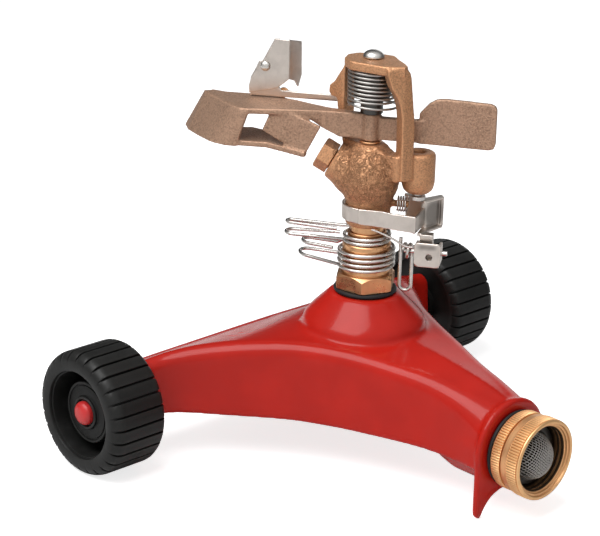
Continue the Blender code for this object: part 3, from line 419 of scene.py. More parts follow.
def plated_sheet(colour):
    """Plated sheet steel: faint spangle, rolling lines, scuffed edges, and painted shade in corners and
    inside the trip.
    """
    finish = Finish("plated_sheet_steel", Metallic=1.0)
    spangle = finish.node("ShaderNodeTexVoronoi", {"feature": "F1"},
                          {"Vector": finish.place, "Scale": 1 / (2.4 * MM)}, "Color")
    pale = finish.node("ShaderNodeSeparateColor", {}, {0: spangle}, "Red")
    scuffs = finish.grain(0.5, 4, 0.6, (1, 1, 0.2))
    tone = finish.mix(pale * 0.3, shade(colour, 1.08), shade(colour, 0.86))
    tone = finish.mix(finish.step(finish.grain(8, 5), 0.45, 0.75) * 0.5, tone, shade(colour, 0.74))
    tone = finish.mix(finish.worn_edges() * 0.6, tone, shade(colour, 1.5))
    # Painted shade: darker in inner corners.
    tone = finish.mix(finish.corner_shade() * 0.7, tone, shade(colour, 0.3))
    for point, near, far, share, dark in ((TRIP_CHANNEL, 3.6, 7.4, 0.72, 0.2),
                                          (BLOCK_HOLE, 1.35, 1.75, 0.85, 0.06)):
        inside = 1 - finish.step(finish.head_reach(point), near, far)
        tone = finish.mix(inside * share, tone, shade(colour, dark))
    height = finish.height()
    lip = 1 - finish.step(finish.head_reach(BLOCK_LIP), 2.2, 5.2)
    band = finish.step(height, 91.4, 93.2) * (1 - finish.step(height, 93.8, 94.5)) * lip
    tone = finish.mix(band * 0.7, tone, shade(colour, 0.3))
    finish.bump(scuffs, 0.3, 0.04)
    return finish.done(tone, scuffs * 0.15 + pale * 0.05 + 0.24)


def finishes():
    """Every finish of the object, by name."""
    colours = bpy.context.scene.sprinkler_colours
    if not FINISHES:
        FINISHES.update(
            red=red_paint(colours.red_paint),
            wheel=black_moulding("wheel_moulding", colours.wheel_black, 0.8, 0.46),
            cap=red_plastic(colours.red_cap),
            rubber=black_moulding("gasket_rubber", colours.rubber, 0.5, 0.55),
            brass=machined("turned_brass", colours.brass, (0.05, 0.05, 1)),
            coupling=machined("coupling_brass", colours.coupling_brass, (0.05, 1, 0.05), 0.34, 13.75, 0.8),
            mesh=machined("strainer_steel", shade(colours.wire_steel, 0.8)[:3], None, 0.4, metallic=0.8),
            # Near-black steel, for the strainer rim and the sleeve inside the spring.
            dark=machined("dark_steel", shade(colours.wire_steel, 0.14)[:3], (0.1, 0.1, 1), 0.3),
            axle=machined("drawn_steel", colours.wire_steel, (1, 0.1, 0.1)),
            bronze=cast_metal("cast_bronze", colours.cast_bronze, 0.7, 0.32, 0.32, True),
            blasted=cast_metal("blasted_bronze", colours.matte_bronze, 0.8, 0.5, 0.36),
            sheet=plated_sheet(colours.sheet_steel),
            spring=machined("spring_steel", shade(colours.wire_steel, 0.6)[:3], (0.3, 0.3, 1), 0.24),
            wire=machined("bright_wire_steel", colours.wire_steel, (0.3, 0.3, 1), 0.2),
        )
    return FINISHES


FINISHES = {}


def mesh_from(name, bm, smooth_below=35):
    """Turn a bmesh into a mesh with its doubles merged, its faces outward and its round sides smooth."""
    bmesh.ops.remove_doubles(bm, verts=bm.verts, dist=1e-6)
    bmesh.ops.recalc_face_normals(bm, faces=bm.faces)
    mesh = bpy.data.meshes.new(name)
    bm.to_mesh(mesh)
    bm.free()
    mesh.shade_smooth()
    mesh.set_sharp_from_angle(angle=math.radians(smooth_below))
    return mesh


def turned(name, profile, matrix, segments=72):
    """A solid or ring turned about Z from (radius, height) points in millimetres."""
    bm = bmesh.new()
    points = [bm.verts.new((radius * MM, 0, height * MM)) for radius, height in profile]
    closed = min(radius for radius, height in profile) > 0
    pairs = zip(points, points[1:] + points[:1]) if closed else zip(points, points[1:])
    edges = [bm.edges.new(pair) for pair in pairs]
    bmesh.ops.spin(bm, geom=edges, cent=(0, 0, 0), axis=(0, 0, 1), angle=2 * math.pi, steps=segments,
                   use_merge=True)
    bm.transform(matrix)
    return mesh_from(name, bm)


def prism(name, outline, low, high, matrix):
    """An outline in the XY plane, in millimetres, raised from low to high."""
    bm = bmesh.new()
    face = bm.faces.new([bm.verts.new((x * MM, y * MM, low * MM)) for x, y in outline])
    raised = bmesh.ops.extrude_face_region(bm, geom=[face])["geom"]
    lift = [item for item in raised if isinstance(item, bmesh.types.BMVert)]
    bmesh.ops.translate(bm, verts=lift, vec=(0, 0, (high - low) * MM))
    bm.transform(matrix)
    return mesh_from(name, bm)


def along_x(x, y, z):
    """A frame whose Z axis lies along +X, for pieces turned about a cross axis."""
    return Matrix.Translation((x, y, z)) @ Matrix.Rotation(math.pi / 2, 4, "Y")


def along_y(x, y, z):
    """A frame whose Z axis lies along +Y."""
    return Matrix.Translation((x, y, z)) @ Matrix.Rotation(-math.pi / 2, 4, "X")


def linked(name, data):
    """An object of its own for a mesh or curve."""
    made = bpy.data.objects.new(name, data)
    bpy.context.scene.collection.objects.link(made)
    return made


def modify(target, name, kind, **settings):
    """Add a modifier to an object and set it up."""
    modifier = target.modifiers.new(name, kind)
    for key, value in settings.items():
        setattr(modifier, key, value)
    return modifier


def baked(target):
    """Replace an object's mesh by what its modifiers make of it, and take them off."""
    depsgraph = bpy.context.evaluated_depsgraph_get()
    mesh = bpy.data.meshes.new_from_object(target.evaluated_get(depsgraph))
    mesh.name = target.name
    target.modifiers.clear()
    target.data = mesh
    return target


def shape_with(target, shapes):
    """Join shapes to an object, or cut them away, for good."""
    helpers = []
    for operation, mesh in shapes:
        helper = linked(mesh.name, mesh)
        helpers.append(helper)
        modify(target, mesh.name, "BOOLEAN", operation=operation, object=helper, solver="EXACT")
    baked(target)
    for helper in helpers:
        bpy.data.objects.remove(helper)


def outward(target, smooth_below=35):
    """Merge an object's doubles, turn its faces outward and smooth its round sides."""
    bm = bmesh.new()
    bm.from_mesh(target.data)
    materials = list(target.data.materials)
    target.data = mesh_from(target.name, bm, smooth_below)
    for material in materials:
        target.data.materials.append(material)
    return target


def skinned(target, step, softness):
    """Skin an object with even faces and round its edges off a little, as on a casting."""
    modify(target, "skin", "REMESH", mode="VOXEL", voxel_size=step, use_smooth_shade=True)
    modify(target, "soften", "SMOOTH", factor=0.5, iterations=softness)
    return baked(target)


def settle(target, finish, body, *nodes, bevel=0.0):
    """Give a piece its finish, round its edges, let it ride on its body and stand for its solids."""
    target.data.materials.clear()
    target.data.materials.append(finishes()[finish])
    if bevel > 0:
        modify(target, "round edges", "BEVEL", width=bevel * MM, segments=2, limit_method="ANGLE",
               angle_limit=math.radians(35), harden_normals=False)
    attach(target, body)
    if nodes:
        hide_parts(*nodes)
    return target


def recast(node, name, finish, body, step, softness, shapes=()):
    """A casting or pressing after its solid: the same shape under one even skin with soft edges.

    Further shapes are joined to it or cut away first.
    """
    bm = bmesh.new()
    bm.from_mesh(frame["nodes"][node].data)
    piece = linked(name, mesh_from(name, bm))
    if shapes:
        shape_with(piece, shapes)
    skinned(piece, step, softness)
    return settle(piece, finish, body, node)


def turned_piece(name, profile, finish, body, node, matrix, bevel=0.15):
    """A turned piece that stands for one solid."""
    return settle(linked(name, turned(name, profile, matrix)), finish, body, node, bevel=bevel)


def new_group(name, inputs):
    """A geometry node group with named inputs, and a function that gives each of them."""
    group = bpy.data.node_groups.new(name, "GeometryNodeTree")
    group.interface.new_socket(name="Geometry", in_out="INPUT", socket_type="NodeSocketGeometry")
    for label, kind, default in inputs:
        socket = group.interface.new_socket(name=label, in_out="INPUT", socket_type="NodeSocket" + kind)
        if default is not None:
            socket.default_value = default
    group.interface.new_socket(name="Geometry", in_out="OUTPUT", socket_type="NodeSocketGeometry")
    tree = Tree(group)
    start = tree.nodes.new("NodeGroupInput")

    def given(label):
        return Value(tree, start.outputs[label])

    return tree, given


def painted(tree, shape, given):
    """End a node group: give the shape its material and hand it over."""
    shape = tree.node("GeometryNodeSetMaterial", {}, {"Geometry": shape, "Material": given("Finish")})
    tree.feed(tree.nodes.new("NodeGroupOutput").inputs["Geometry"], shape)
    return tree.group


def run_group(target, group, values):
    """Run a node group on an object with these inputs, and keep the result as its mesh."""
    modifier = modify(target, group.name, "NODES", node_group=group)
    for item in group.interface.items_tree:
        if item.in_out == "INPUT" and item.name in values:
            modifier[item.identifier] = values[item.name]
    return baked(target)


def wire_group():
    """The node group that sweeps a round wire along every line of a mesh."""
    tree, given = new_group("wire along lines", [("Wire radius", "Float", 0.0005), ("Sides", "Int", 12),
                                                 ("Finish", "Material", None)])
    line = tree.node("GeometryNodeMeshToCurve", {}, {"Mesh": given("Geometry")})
    ring = tree.node("GeometryNodeCurvePrimitiveCircle", {},
                     {"Radius": given("Wire radius"), "Resolution": given("Sides")})
    wire = tree.node("GeometryNodeCurveToMesh", {}, {"Curve": line, "Profile Curve": ring, "Fill Caps": True})
    wire = tree.node("GeometryNodeSetShadeSmooth", {}, {"Geometry": wire})
    wire = tree.node("GeometryNodeRealizeInstances", {}, {"Geometry": wire})
    return painted(tree, wire, given)


def ring_group():
    """The node group that repeats one sector of a wheel or nut round the X axis and closes the ring."""
    tree, given = new_group("sector round an axis", [("Count", "Int", 28), ("Middle", "Vector", (0, 0, 0)),
                                                     ("Finish", "Material", None)])
    spots = tree.node("GeometryNodePoints", {}, {"Count": given("Count")})
    angle = tree.node("GeometryNodeInputIndex", {}, {}) / given("Count") * (2 * math.pi)
    turn = tree.node("ShaderNodeCombineXYZ", {}, {"X": angle})
    ring = tree.node("GeometryNodeInstanceOnPoints", {},
                     {"Points": spots, "Instance": given("Geometry"), "Rotation": turn})
    ring = tree.node("GeometryNodeRealizeInstances", {}, {"Geometry": ring})
    ring = tree.node("GeometryNodeMergeByDistance", {}, {"Geometry": ring, "Distance": 2e-6})
    ring = tree.node("GeometryNodeTransform", {}, {"Geometry": ring, "Translation": given("Middle")})
    return painted(tree, ring, given)


def wire_piece(name, lines, radius, finish, body, node, matrix=HEAD_PLACE, sides=None):
    """Round wires along lines of points in millimetres, which stand for one solid."""
    mesh = bpy.data.meshes.new(name)
    points = []
    edges = []
    for line in lines:
        edges += [(k, k + 1) for k in range(len(points), len(points) + len(line) - 1)]
        points += [matrix @ (Vector(point) * MM) for point in line]
    mesh.from_pydata(points, edges, [])
    piece = linked(name, mesh)
    sides = sides or bpy.context.scene.sprinkler_head.wire_sides
    run_group(piece, wire_group(), {"Wire radius": radius, "Sides": sides, "Finish": finishes()[finish]})
    return settle(outward(piece, 60), finish, body, node)


def ring_piece(name, profile, count, wave, depth, centre, finish, body, node):
    """A ring whose outside has the same relief over and over, which stands for one solid.

    The profile gives radius, place along the axis and share of the relief, in millimetres. The wave
    gives the relief over one sector, as pairs of the share of the sector and the depth from 0 to 1.
    """
    sector = 2 * math.pi / count
    bm = bmesh.new()
    columns = []
    for share, level in wave + [(1.0, wave[0][1])]:
        angle = sector * share
        column = []
        for radius, along, relief in profile:
            reach = (radius - depth / MM * level * relief) * MM
            column.append(bm.verts.new((along * MM, reach * math.cos(angle), reach * math.sin(angle))))
        columns.append(column)
    for first, second in zip(columns, columns[1:]):
        for k in range(len(profile)):
            n = (k + 1) % len(profile)
            bm.faces.new((first[k], first[n], second[n], second[k]))
    mesh = bpy.data.meshes.new(name)
    bm.to_mesh(mesh)
    bm.free()
    piece = linked(name, mesh)
    run_group(piece, ring_group(), {"Count": count, "Middle": tuple(centre), "Finish": finishes()[finish]})
    return settle(outward(piece, 30), finish, body, node)


def smooth_curve(points, steps):
    """A Catmull-Rom curve through points of any dimension, with steps pieces between each two."""
    ends = [2 * points[0] - points[1]] + points + [2 * points[-1] - points[-2]]
    curve = []
    for a, b, c, d in zip(ends, ends[1:], ends[2:], ends[3:]):
        for step in range(steps):
            t = step / steps
            curve.append(0.5 * (2 * b + (c - a) * t + (2 * a - 5 * b + 4 * c - d) * t * t
                                + (3 * b - a - 3 * c + d) * t ** 3))
    return curve + [points[-1].copy()]


# The base's half shell is drawn by stations. Each runs from a point of the concave side, given as
# x, y, rim height and rim radius, to a point of the crest, given as x, y and height. The crest is
# the middle line at the front and the back edge of the rear arm.
STATIONS = [
    ((17.3, -83, 44.9, 14), (0, -83, 45.2)),
    ((17.2, -68, 48.0, 9), (0, -68, 49.5)),
    ((19.0, -53, 50.3, 7), (0, -53, 52.0)),
    ((24.3, -36, 52.2, 6), (0, -36, 54.0)),
    ((30.6, -19, 53.6, 6), (0, -19, 55.0)),
    ((38.4, -3, 54.0, 6), (0, -2, 55.4)),
    ((46.0, 7.5, 53.6, 6), (0, 18, 55.0)),
    ((54.0, 17, 52.4, 6), (0, 36, 50.3)),
    ((60.0, 24, 51.0, 6), (0, 54, 41.3)),
    ((65.5, 30.5, 49.4, 6), (21, 54, 41.1)),
    ((70.8, 36, 47.6, 5.6), (43, 54, 40.8)),
    ((76.5, 39.7, 45.6, 5.2), (64, 54, 40.5)),
    ((81.0, 40.5, 44.3, 5), (77, 54, 40.2)),
    ((84.5, 40.5, 43.5, 5), (84.5, 54, 40.0)),
]
BACK_STATION = 8
CREST_BACK = 54
STATION_STEPS = 4
SKIRT_BOTTOM = 20.0
BACK_DEPTH = 8.5
BACK_DRAFT = 0.6
SIDE_DRAFT = 1.2
ARM_END_X = 86.0
ARM_END_SHRINK = 0.9
ARM_END_MIDDLE = (51, 29)
SKIRT_STEPS = 5
CURVE_STEPS = 8


def station_section(side, crest, has_back):
    """One section of the half shell: up the skirt, round the rim and over the top to the crest."""
    foot = Vector(side[:2])
    goal = Vector(crest[:2])
    inward = (goal - foot).normalized()
    reach = (goal - foot).length
    rim_height, radius = side[2:]
    skirt_top = rim_height - radius
    points = []
    for step in range(SKIRT_STEPS):
        share = step / SKIRT_STEPS
        place = foot + inward * SIDE_DRAFT * share
        points.append((*place, SKIRT_BOTTOM + (skirt_top - SKIRT_BOTTOM) * share))
    for step in range(CURVE_STEPS + 1):
        turn = math.pi / 2 * step / CURVE_STEPS
        place = foot + inward * (SIDE_DRAFT + radius * (1 - math.cos(turn)))
        points.append((*place, skirt_top + radius * math.sin(turn)))
    start = SIDE_DRAFT + radius
    for step in range(1, CURVE_STEPS + 1):
        share = step / CURVE_STEPS
        place = foot + inward * (start + (reach - start) * share)
        points.append((*place, rim_height + (crest[2] - rim_height) * share))
    if has_back:
        for step in range(1, CURVE_STEPS + 1):
            turn = math.pi / 2 * step / CURVE_STEPS
            points.append((goal.x, goal.y + BACK_DEPTH * math.sin(turn),
                           crest[2] - BACK_DEPTH * (1 - math.cos(turn))))
        points.append((goal.x, goal.y + BACK_DEPTH + BACK_DRAFT, SKIRT_BOTTOM))
    return points


def base_shell():
    """The half shell as a bare surface, with its end wall, ready for Mirror and Solidify."""
    sides = smooth_curve([Vector(side) for side, crest in STATIONS], STATION_STEPS)
    crests = smooth_curve([Vector(crest) for side, crest in STATIONS], STATION_STEPS)
    back_start = BACK_STATION * STATION_STEPS
    bm = bmesh.new()
    columns = []
    for index, (side, crest) in enumerate(zip(sides, crests)):
        crest.y = min(crest.y, CREST_BACK)
        if index <= back_start:
            crest.x = 0
        elif index < (len(STATIONS) - 1) * STATION_STEPS:
            whole, step = divmod(index, STATION_STEPS)
            before, after = (Vector(STATIONS[k][1]) for k in (whole, whole + 1))
            crest = before.lerp(after, step / STATION_STEPS)
        section = station_section(side, crest, index >= back_start)
        columns.append([bm.verts.new(Vector(point) * MM) for point in section])
    end_middle = Vector((ARM_END_X, *ARM_END_MIDDLE))
    last = []
    for vert in columns[-1]:
        point = vert.co / MM
        shrunk = end_middle + (point - end_middle) * ARM_END_SHRINK
        height = max(shrunk.z, SKIRT_BOTTOM) if point.z > SKIRT_BOTTOM else point.z
        last.append(bm.verts.new(Vector((ARM_END_X, shrunk.y, height)) * MM))
    columns.append(last)
    for left, right in zip(columns, columns[1:]):
        for row in range(min(len(left), len(right)) - 1):
            bm.faces.new((left[row], right[row], right[row + 1], left[row + 1]))
    bm.faces.new(last)
    bmesh.ops.translate(bm, verts=bm.verts, vec=(0, RISER_Y, 0))
    bmesh.ops.recalc_face_normals(bm, faces=bm.faces)
    if sum(face.normal.z * face.calc_area() for face in bm.faces) < 0:
        bmesh.ops.reverse_faces(bm, faces=bm.faces)
    mesh = bpy.data.meshes.new("red_base")
    bm.to_mesh(mesh)
    bm.free()
    return mesh


def flange_outline():
    """The coupling flange seen from the front: a disc whose lower part runs down into two feet."""
    radius = 20
    arc_steps = 64
    ground = -INLET_HEIGHT / MM
    outline = []
    for step in range(arc_steps + 1):
        turn = math.radians(-8 + 196 * step / arc_steps)
        outline.append((radius * math.cos(turn), radius * math.sin(turn)))
    foot = [(-19.6, -12), (-19.4, ground + 2.2), (-18.6, ground + 0.6), (-17.6, ground), (-16.2, ground),
            (-15.2, ground + 1.6), (-13.4, ground + 4.6), (-10.4, ground + 7.4), (-6, ground + 9),
            (0, ground + 9.6)]
    return outline + foot + [(-x, y) for x, y in foot[-2::-1]]


class SPRINKLER_OT_base(bpy.types.Operator):
    """The painted casting: shell, dome, water way, flange and feet under one skin, with its bores."""
    bl_idname = "sprinkler.base"
    bl_label = "Cast base"
    bl_options = {"REGISTER", "UNDO"}

    def execute(self, context):
        sizes = context.scene.sprinkler_base
        base = linked("red_base", base_shell())
        modify(base, "other half", "MIRROR", merge_threshold=0.00005)
        modify(base, "wall", "SOLIDIFY", thickness=sizes.wall, offset=-1, use_even_offset=True,
               use_rim=True)
        baked(base)
        inlet = along_y(0, RISER_Y, INLET_HEIGHT)
        front = Matrix.Translation((0, FLANGE_FACE * MM, INLET_HEIGHT)) @ Matrix.Rotation(math.pi / 2, 4, "X")
        dome = [(0, 16), (15, 16), (17, 20), (17, 44), (22, 51), (26.4, 52), (26.2, 55), (25.9, 57),
                (24.6, 59), (22.2, 61.6), (18.2, 65.6), (14.6, 69.2), (0, 69.2)]
        boss = [(0, -84), (17, -84), (17, -64), (15.2, -56), (11.5, -51), (11, -46), (11, 0), (0, 0)]
        bore = [(0, -90), (12.8, -90), (12.8, -64), (8, -62), (8, 0), (0, 0)]
        chamber = [(0, 22), (7.6, 22), (7.6, 43), (10.8, 44), (10.8, 75), (0, 75)]
        hole = [(0, -100), (AXLE_HOLE, -100), (AXLE_HOLE, 100), (0, 100)]
        bm = bmesh.new()
        for mesh in (base.data, turned("dome", dome, RISER_PLACE), turned("inlet boss", boss, inlet),
                     prism("flange and feet", flange_outline(), -3.2, 0, front)):
            bm.from_mesh(mesh)
        bm.to_mesh(base.data)
        bm.free()
        skinned(base, sizes.grain, 2)
        shape_with(base, [
            ("DIFFERENCE", turned("inlet bore", bore, inlet)),
            ("DIFFERENCE", turned("riser bore", chamber, RISER_PLACE)),
            ("DIFFERENCE", turned("axle holes", hole, along_x(0, AXLE.y, AXLE.z))),
        ])
        modify(base, "soften", "SMOOTH", factor=0.5, iterations=sizes.softness)
        baked(base)
        settle(base, "red", "base", "base_casting")
        return {"FINISHED"}


def wheel_profile():
    """Radius, place along the axle and share of the tread relief, round a wheel's section."""
    inner = WHEEL_INNER
    outer = WHEEL_OUTER
    radius = WHEEL_RADIUS
    return [(radius - 5, inner, 0), (radius - 3.4, inner, 0.2), (radius - 2.6, inner + 0.05, 0.9),
            (radius - 1.5, inner + 0.7, 1), (radius - 0.6, inner + 1.5, 1), (radius - 0.12, inner + 2.4, 1),
            (radius, inner + 3.4, 1), (radius, inner + 12, 1), (radius, outer - 4.9, 1),
            (radius - 0.05, outer - 4.2, 1), (radius - 0.35, outer - 3.0, 0.95),
            (radius - 0.9, outer - 1.9, 0.85), (radius - 1.8, outer - 0.9, 0.6),
            (radius - 3.0, outer - 0.25, 0.25), (radius - 4.2, outer, 0),
            (19.3, outer, 0), (18.9, outer - 0.15, 0), (18.7, outer - 0.6, 0), (18.65, outer - 1.5, 0),
            (18.2, outer - 1.7, 0), (18.1, outer - 2.2, 0), (17.9, inner + 6.6, 0), (17.5, inner + 6, 0),
            (14, inner + 6, 0), (13.5, inner + 6.5, 0), (13.2, outer - 6.2, 0), (13.1, outer - 5.6, 0),
            (12.8, outer - 5.25, 0), (12.3, outer - 5.2, 0), (12.0, outer - 5.35, 0), (11.85, outer - 5.8, 0),
            (11.45, outer - 5.8, 0), (11.3, outer - 5.35, 0), (11.0, outer - 5.2, 0), (7.4, outer - 5.2, 0),
            (7.15, outer - 5.0, 0), (7.0, outer - 4.2, 0), (6.7, outer - 3.9, 0), (6.0, outer - 3.9, 0),
            (5.7, outer - 4.2, 0), (5.6, outer - 5.2, 0), (AXLE_HOLE, outer - 5.2, 0),
            (AXLE_HOLE, inner + 0.4, 0), (9, inner + 0.4, 0), (9, inner + 3.2, 0),
            (radius - 5, inner + 3.2, 0)]


class SPRINKLER_OT_wheels(bpy.types.Operator):
    """Two moulded wheels with lugged treads on a steel rod, each held by a domed red cap."""
    bl_idname = "sprinkler.wheels"
    bl_label = "Wheels and axle"
    bl_options = {"REGISTER", "UNDO"}

    def execute(self, context):
        sizes = context.scene.sprinkler_wheels
        flat = 1 - sizes.groove
        edge = sizes.groove * 0.12
        wave = [(0, 0.0), (flat * 0.33, 0.0), (flat * 0.67, 0.0), (flat - edge, 0.0), (flat, 0.07),
                (flat + edge, 0.9), (flat + 2.2 * edge, 1.0), (1 - 3.2 * edge, 1.0), (1 - 2 * edge, 0.9),
                (1 - edge, 0.07)]
        cap = [(0, 1.3), (3.3, 1.3), (3.3, 0), (4.8, 0), (5, 0.2), (5, 1.5), (4.8, 2.1), (4.35, 2.7),
               (3.7, 3.2), (2.8, 3.6), (1.6, 3.82), (0, 3.9)]
        cap = [(radius, WHEEL_OUTER - 4.9 + along) for radius, along in cap]
        rod = [(0, -ROD_END), (2.4, -ROD_END), (3, -ROD_END + 0.6), (3, ROD_END - 0.6), (2.4, ROD_END),
               (0, ROD_END)]
        turned_piece("axle_steel_rod", rod, "axle", "base", "axle_rod", along_x(0, AXLE.y, AXLE.z))
        for side, direction in (("left", -1), ("right", 1)):
            profile = [(radius, direction * along, relief) for radius, along, relief in wheel_profile()]
            ring_piece(side + "_wheel_moulding", profile, sizes.lugs, wave, sizes.depth, (0, AXLE.y, AXLE.z),
                       "wheel", side + "_wheel", "wheel_" + side)
            turn = Matrix.Rotation(math.pi if direction < 0 else 0, 4, "Z")
            place = Matrix.Translation((0, AXLE.y, AXLE.z)) @ turn @ Matrix.Rotation(math.pi / 2, 4, "Y")
            turned_piece(side + "_red_cap", cap, "cap", "base", "axle_cap_" + side, place, bevel=0.1)
        return {"FINISHED"}


def coupling_profile():
    """Radius, place along the inlet and share of the knurling, round the swivel nut's section."""
    outline = [(9.2, 0, 0), (14.8, 0, 0), (15.5, 0.15, 0), (15.9, 0.45, 0), (16.1, 0.75, 0), (16.3, 0.85, 1),
               (16.4, 1.1, 1), (16.4, 4.9, 1), (16.2, 5.05, 0), (15.6, 5.1, 0), (15.0, 5.2, 0),
               (15.0, 5.5, 0), (15.6, 5.6, 0), (16.1, 5.8, 0), (16.3, 6.4, 0), (16.45, 7.6, 0),
               (16.6, 8.7, 0), (16.7, 9.0, 0), (16.8, 9.15, 1), (16.85, 9.3, 1), (16.85, 13.9, 1),
               (16.75, 14.05, 0.6), (16.3, 14.1, 0), (16.1, 14.2, 0), (16.3, 14.3, 0), (16.6, 14.4, 0),
               (16.75, 14.6, 0), (16.65, 14.95, 0), (16.3, 15.15, 0)]
    reach = COUPLING_BACK - COUPLING_FRONT
    thread = [(15.85, reach, 0), (15.5, reach, 0), (15.2, reach - 0.2, 0), (15.0, reach - 0.9, 0),
              (14.6, reach - 1.0, 0), (14.3, reach - 1.1, 0), (14.15, reach - 1.9, 0), (13.8, reach - 2.0, 0)]
    along = reach - 2.1
    while along > 9.2:
        thread += [(13.7, along, 0), (13.1, along - 0.45, 0), (13.0, along - 0.7, 0), (13.1, along - 0.95, 0),
                   (13.7, along - 1.4, 0)]
        along -= 2.2
    thread += [(12.9, 2.1, 0), (9.2, 2.1, 0)]
    return [(radius, COUPLING_BACK - depth, relief) for radius, depth, relief in outline + thread]


def strainer_lines(centre, tip, rim, radius, pitch):
    """Two crossing families of woven wires pressed into a blunt dome, as lines of points."""
    bluntness = 4.2
    weave_depth = 0.1
    lines = []
    count = int(radius / pitch)
    for family in range(2):
        turn = Matrix.Rotation(math.radians(40 + 90 * family), 3, "Y")
        for row in range(-count, count + 1):
            offset = row * pitch
            half = math.sqrt(radius ** 2 - offset ** 2)
            if half < pitch:
                continue
            steps = int(2 * half / pitch * 3)
            line = []
            for step in range(steps + 1):
                across = -half + 2 * half * step / steps
                share = math.hypot(offset, across) / radius
                weave = weave_depth * math.cos(math.pi * (across / pitch + row + family))
                depth = tip + (rim - tip) * share ** bluntness + weave
                place = turn @ Vector((offset, 0, across))
                line.append((centre[0] + place.x, depth, centre[1] + place.z))
            lines.append(line)
    return lines


class SPRINKLER_OT_coupling(bpy.types.Operator):
    """The knurled swivel nut, the stub it turns on, and the washer and woven strainer in its mouth."""
    bl_idname = "sprinkler.coupling"
    bl_label = "Hose coupling"
    bl_options = {"REGISTER", "UNDO"}

    def execute(self, context):
        sizes = context.scene.sprinkler_coupling
        back = COUPLING_BACK
        face = FLANGE_FACE
        inlet = along_y(0, 0, INLET_HEIGHT)
        wave = [(0, 0.0), (0.18, 0.06), (0.36, 0.6), (0.5, 1.0), (0.64, 0.6), (0.82, 0.06)]
        nut = ring_piece("coupling_knurled_nut", coupling_profile(), sizes.ridges, wave, sizes.ridge_depth,
                         (0, 0, 0), "coupling", "coupling", "coupling_nut")
        nut.data.transform(INLET_PLACE @ Matrix.Rotation(math.pi / 2, 4, "Z"))
        stub = [(7.5, face + 20), (7.5, back - 4.2), (10.4, back - 4.2), (10.4, back - 2.4),
                (8.9, back - 2.4), (8.9, face - 0.3), (12.5, face - 0.3), (12.5, face + 20)]
        turned_piece("inlet_brass_stub", stub, "coupling", "base", "inlet_stub", inlet)
        gasket = [(12.8, face - 1.9), (15.4, face - 1.9), (15.9, face - 1.1), (15.4, face - 0.3),
                  (12.8, face - 0.3)]
        turned_piece("inlet_black_ring", gasket, "rubber", "base", "inlet_gasket", inlet, bevel=0.3)
        seat = back - 4.5
        washer = [(8.2, seat), (12.6, seat), (12.6, seat - 2.6), (8.2, seat - 2.6)]
        turned_piece("hose_rubber_washer", washer, "rubber", "coupling", "hose_washer", inlet, bevel=0.4)
        rim = seat - 2.9
        collar = [(9.2, rim), (12.4, rim), (12.4, rim - 0.8), (10.2, rim - 0.8)]
        turned_piece("strainer_rim", collar, "dark", "coupling", "filter_screen", inlet, bevel=0.2)
        lines = strainer_lines((0.4, -0.9), COUPLING_FRONT + 0.9, rim - 0.4, 9.9, sizes.mesh_pitch / MM)
        wire_piece("strainer_mesh", lines, sizes.mesh_wire / 2, "mesh", "coupling", "filter_screen",
                   INLET_PLACE, 5)
        return {"FINISHED"}


def hexagon(corner, turn):
    """The corners of a hexagon of this radius, in millimetres."""
    angles = [turn + math.pi / 3 * k for k in range(6)]
    return [(corner * math.cos(angle), corner * math.sin(angle)) for angle in angles]


class SPRINKLER_OT_bearing(bpy.types.Operator):
    """The bearing nut with its two collar seats, the tube that turns in it, and their seals."""
    bl_idname = "sprinkler.bearing"
    bl_label = "Bearing nut and tube"
    bl_options = {"REGISTER", "UNDO"}

    def execute(self, context):
        gasket = [(11.1, 69.5), (13, 69.5), (13.4, 70.3), (13, 71.1), (11.1, 71.1)]
        turned_piece("riser_black_ring", gasket, "rubber", "base", "riser_gasket", RISER_PLACE, bevel=0.3)
        corner = 23 / math.sqrt(3)
        hex_top = 77.9
        bore = TUBE_RADIUS + 0.3
        name = "bearing_brass_nut"
        flats = hexagon(corner, math.radians(-142))
        nut = linked(name, prism(name, flats, NUT_BOTTOM, hex_top, RISER_PLACE))
        chamfer = [(0, NUT_BOTTOM - 1), (corner - 0.5, NUT_BOTTOM - 1), (corner - 0.5, NUT_BOTTOM),
                   (corner + 0.1, NUT_BOTTOM + 0.5), (corner + 0.1, 76.2), (11.4, hex_top), (0, hex_top)]
        barrel = [(0, 50), (10.5, 50), (10.5, 77.5), (10.1, 78), (10.1, NUT_SHOULDER - 0.6),
                  (9.6, NUT_SHOULDER - 0.1), (8.15, NUT_SHOULDER - 0.1), (8.15, NUT_TOP - 0.3),
                  (7.9, NUT_TOP), (0, NUT_TOP)]
        hole = [(0, 40), (bore, 40), (bore, 110), (0, 110)]
        shape_with(nut, [("INTERSECT", turned("nut chamfer", chamfer, RISER_PLACE, 96)),
                         ("UNION", turned("nut barrel", barrel, RISER_PLACE, 96)),
                         ("DIFFERENCE", turned("nut bore", hole, RISER_PLACE, 96))])
        settle(outward(nut), "brass", "base", "bearing_nut", bevel=0.2)
        seal = [(bore, 46.6), (10.2, 46.6), (10.2, 49.6), (bore, 49.6)]
        turned_piece("seal_black_ring", seal, "rubber", "head", "seal_washer", RISER_PLACE, bevel=0.4)
        tube = [(5.3, 44.6), (9.8, 44.6), (9.8, 46.3), (TUBE_RADIUS, 46.3), (TUBE_RADIUS, 111.7),
                (5.3, 111.7)]
        turned_piece("bearing_brass_tube", tube, "brass", "head", "bearing_tube", RISER_PLACE)
        return {"FINISHED"}


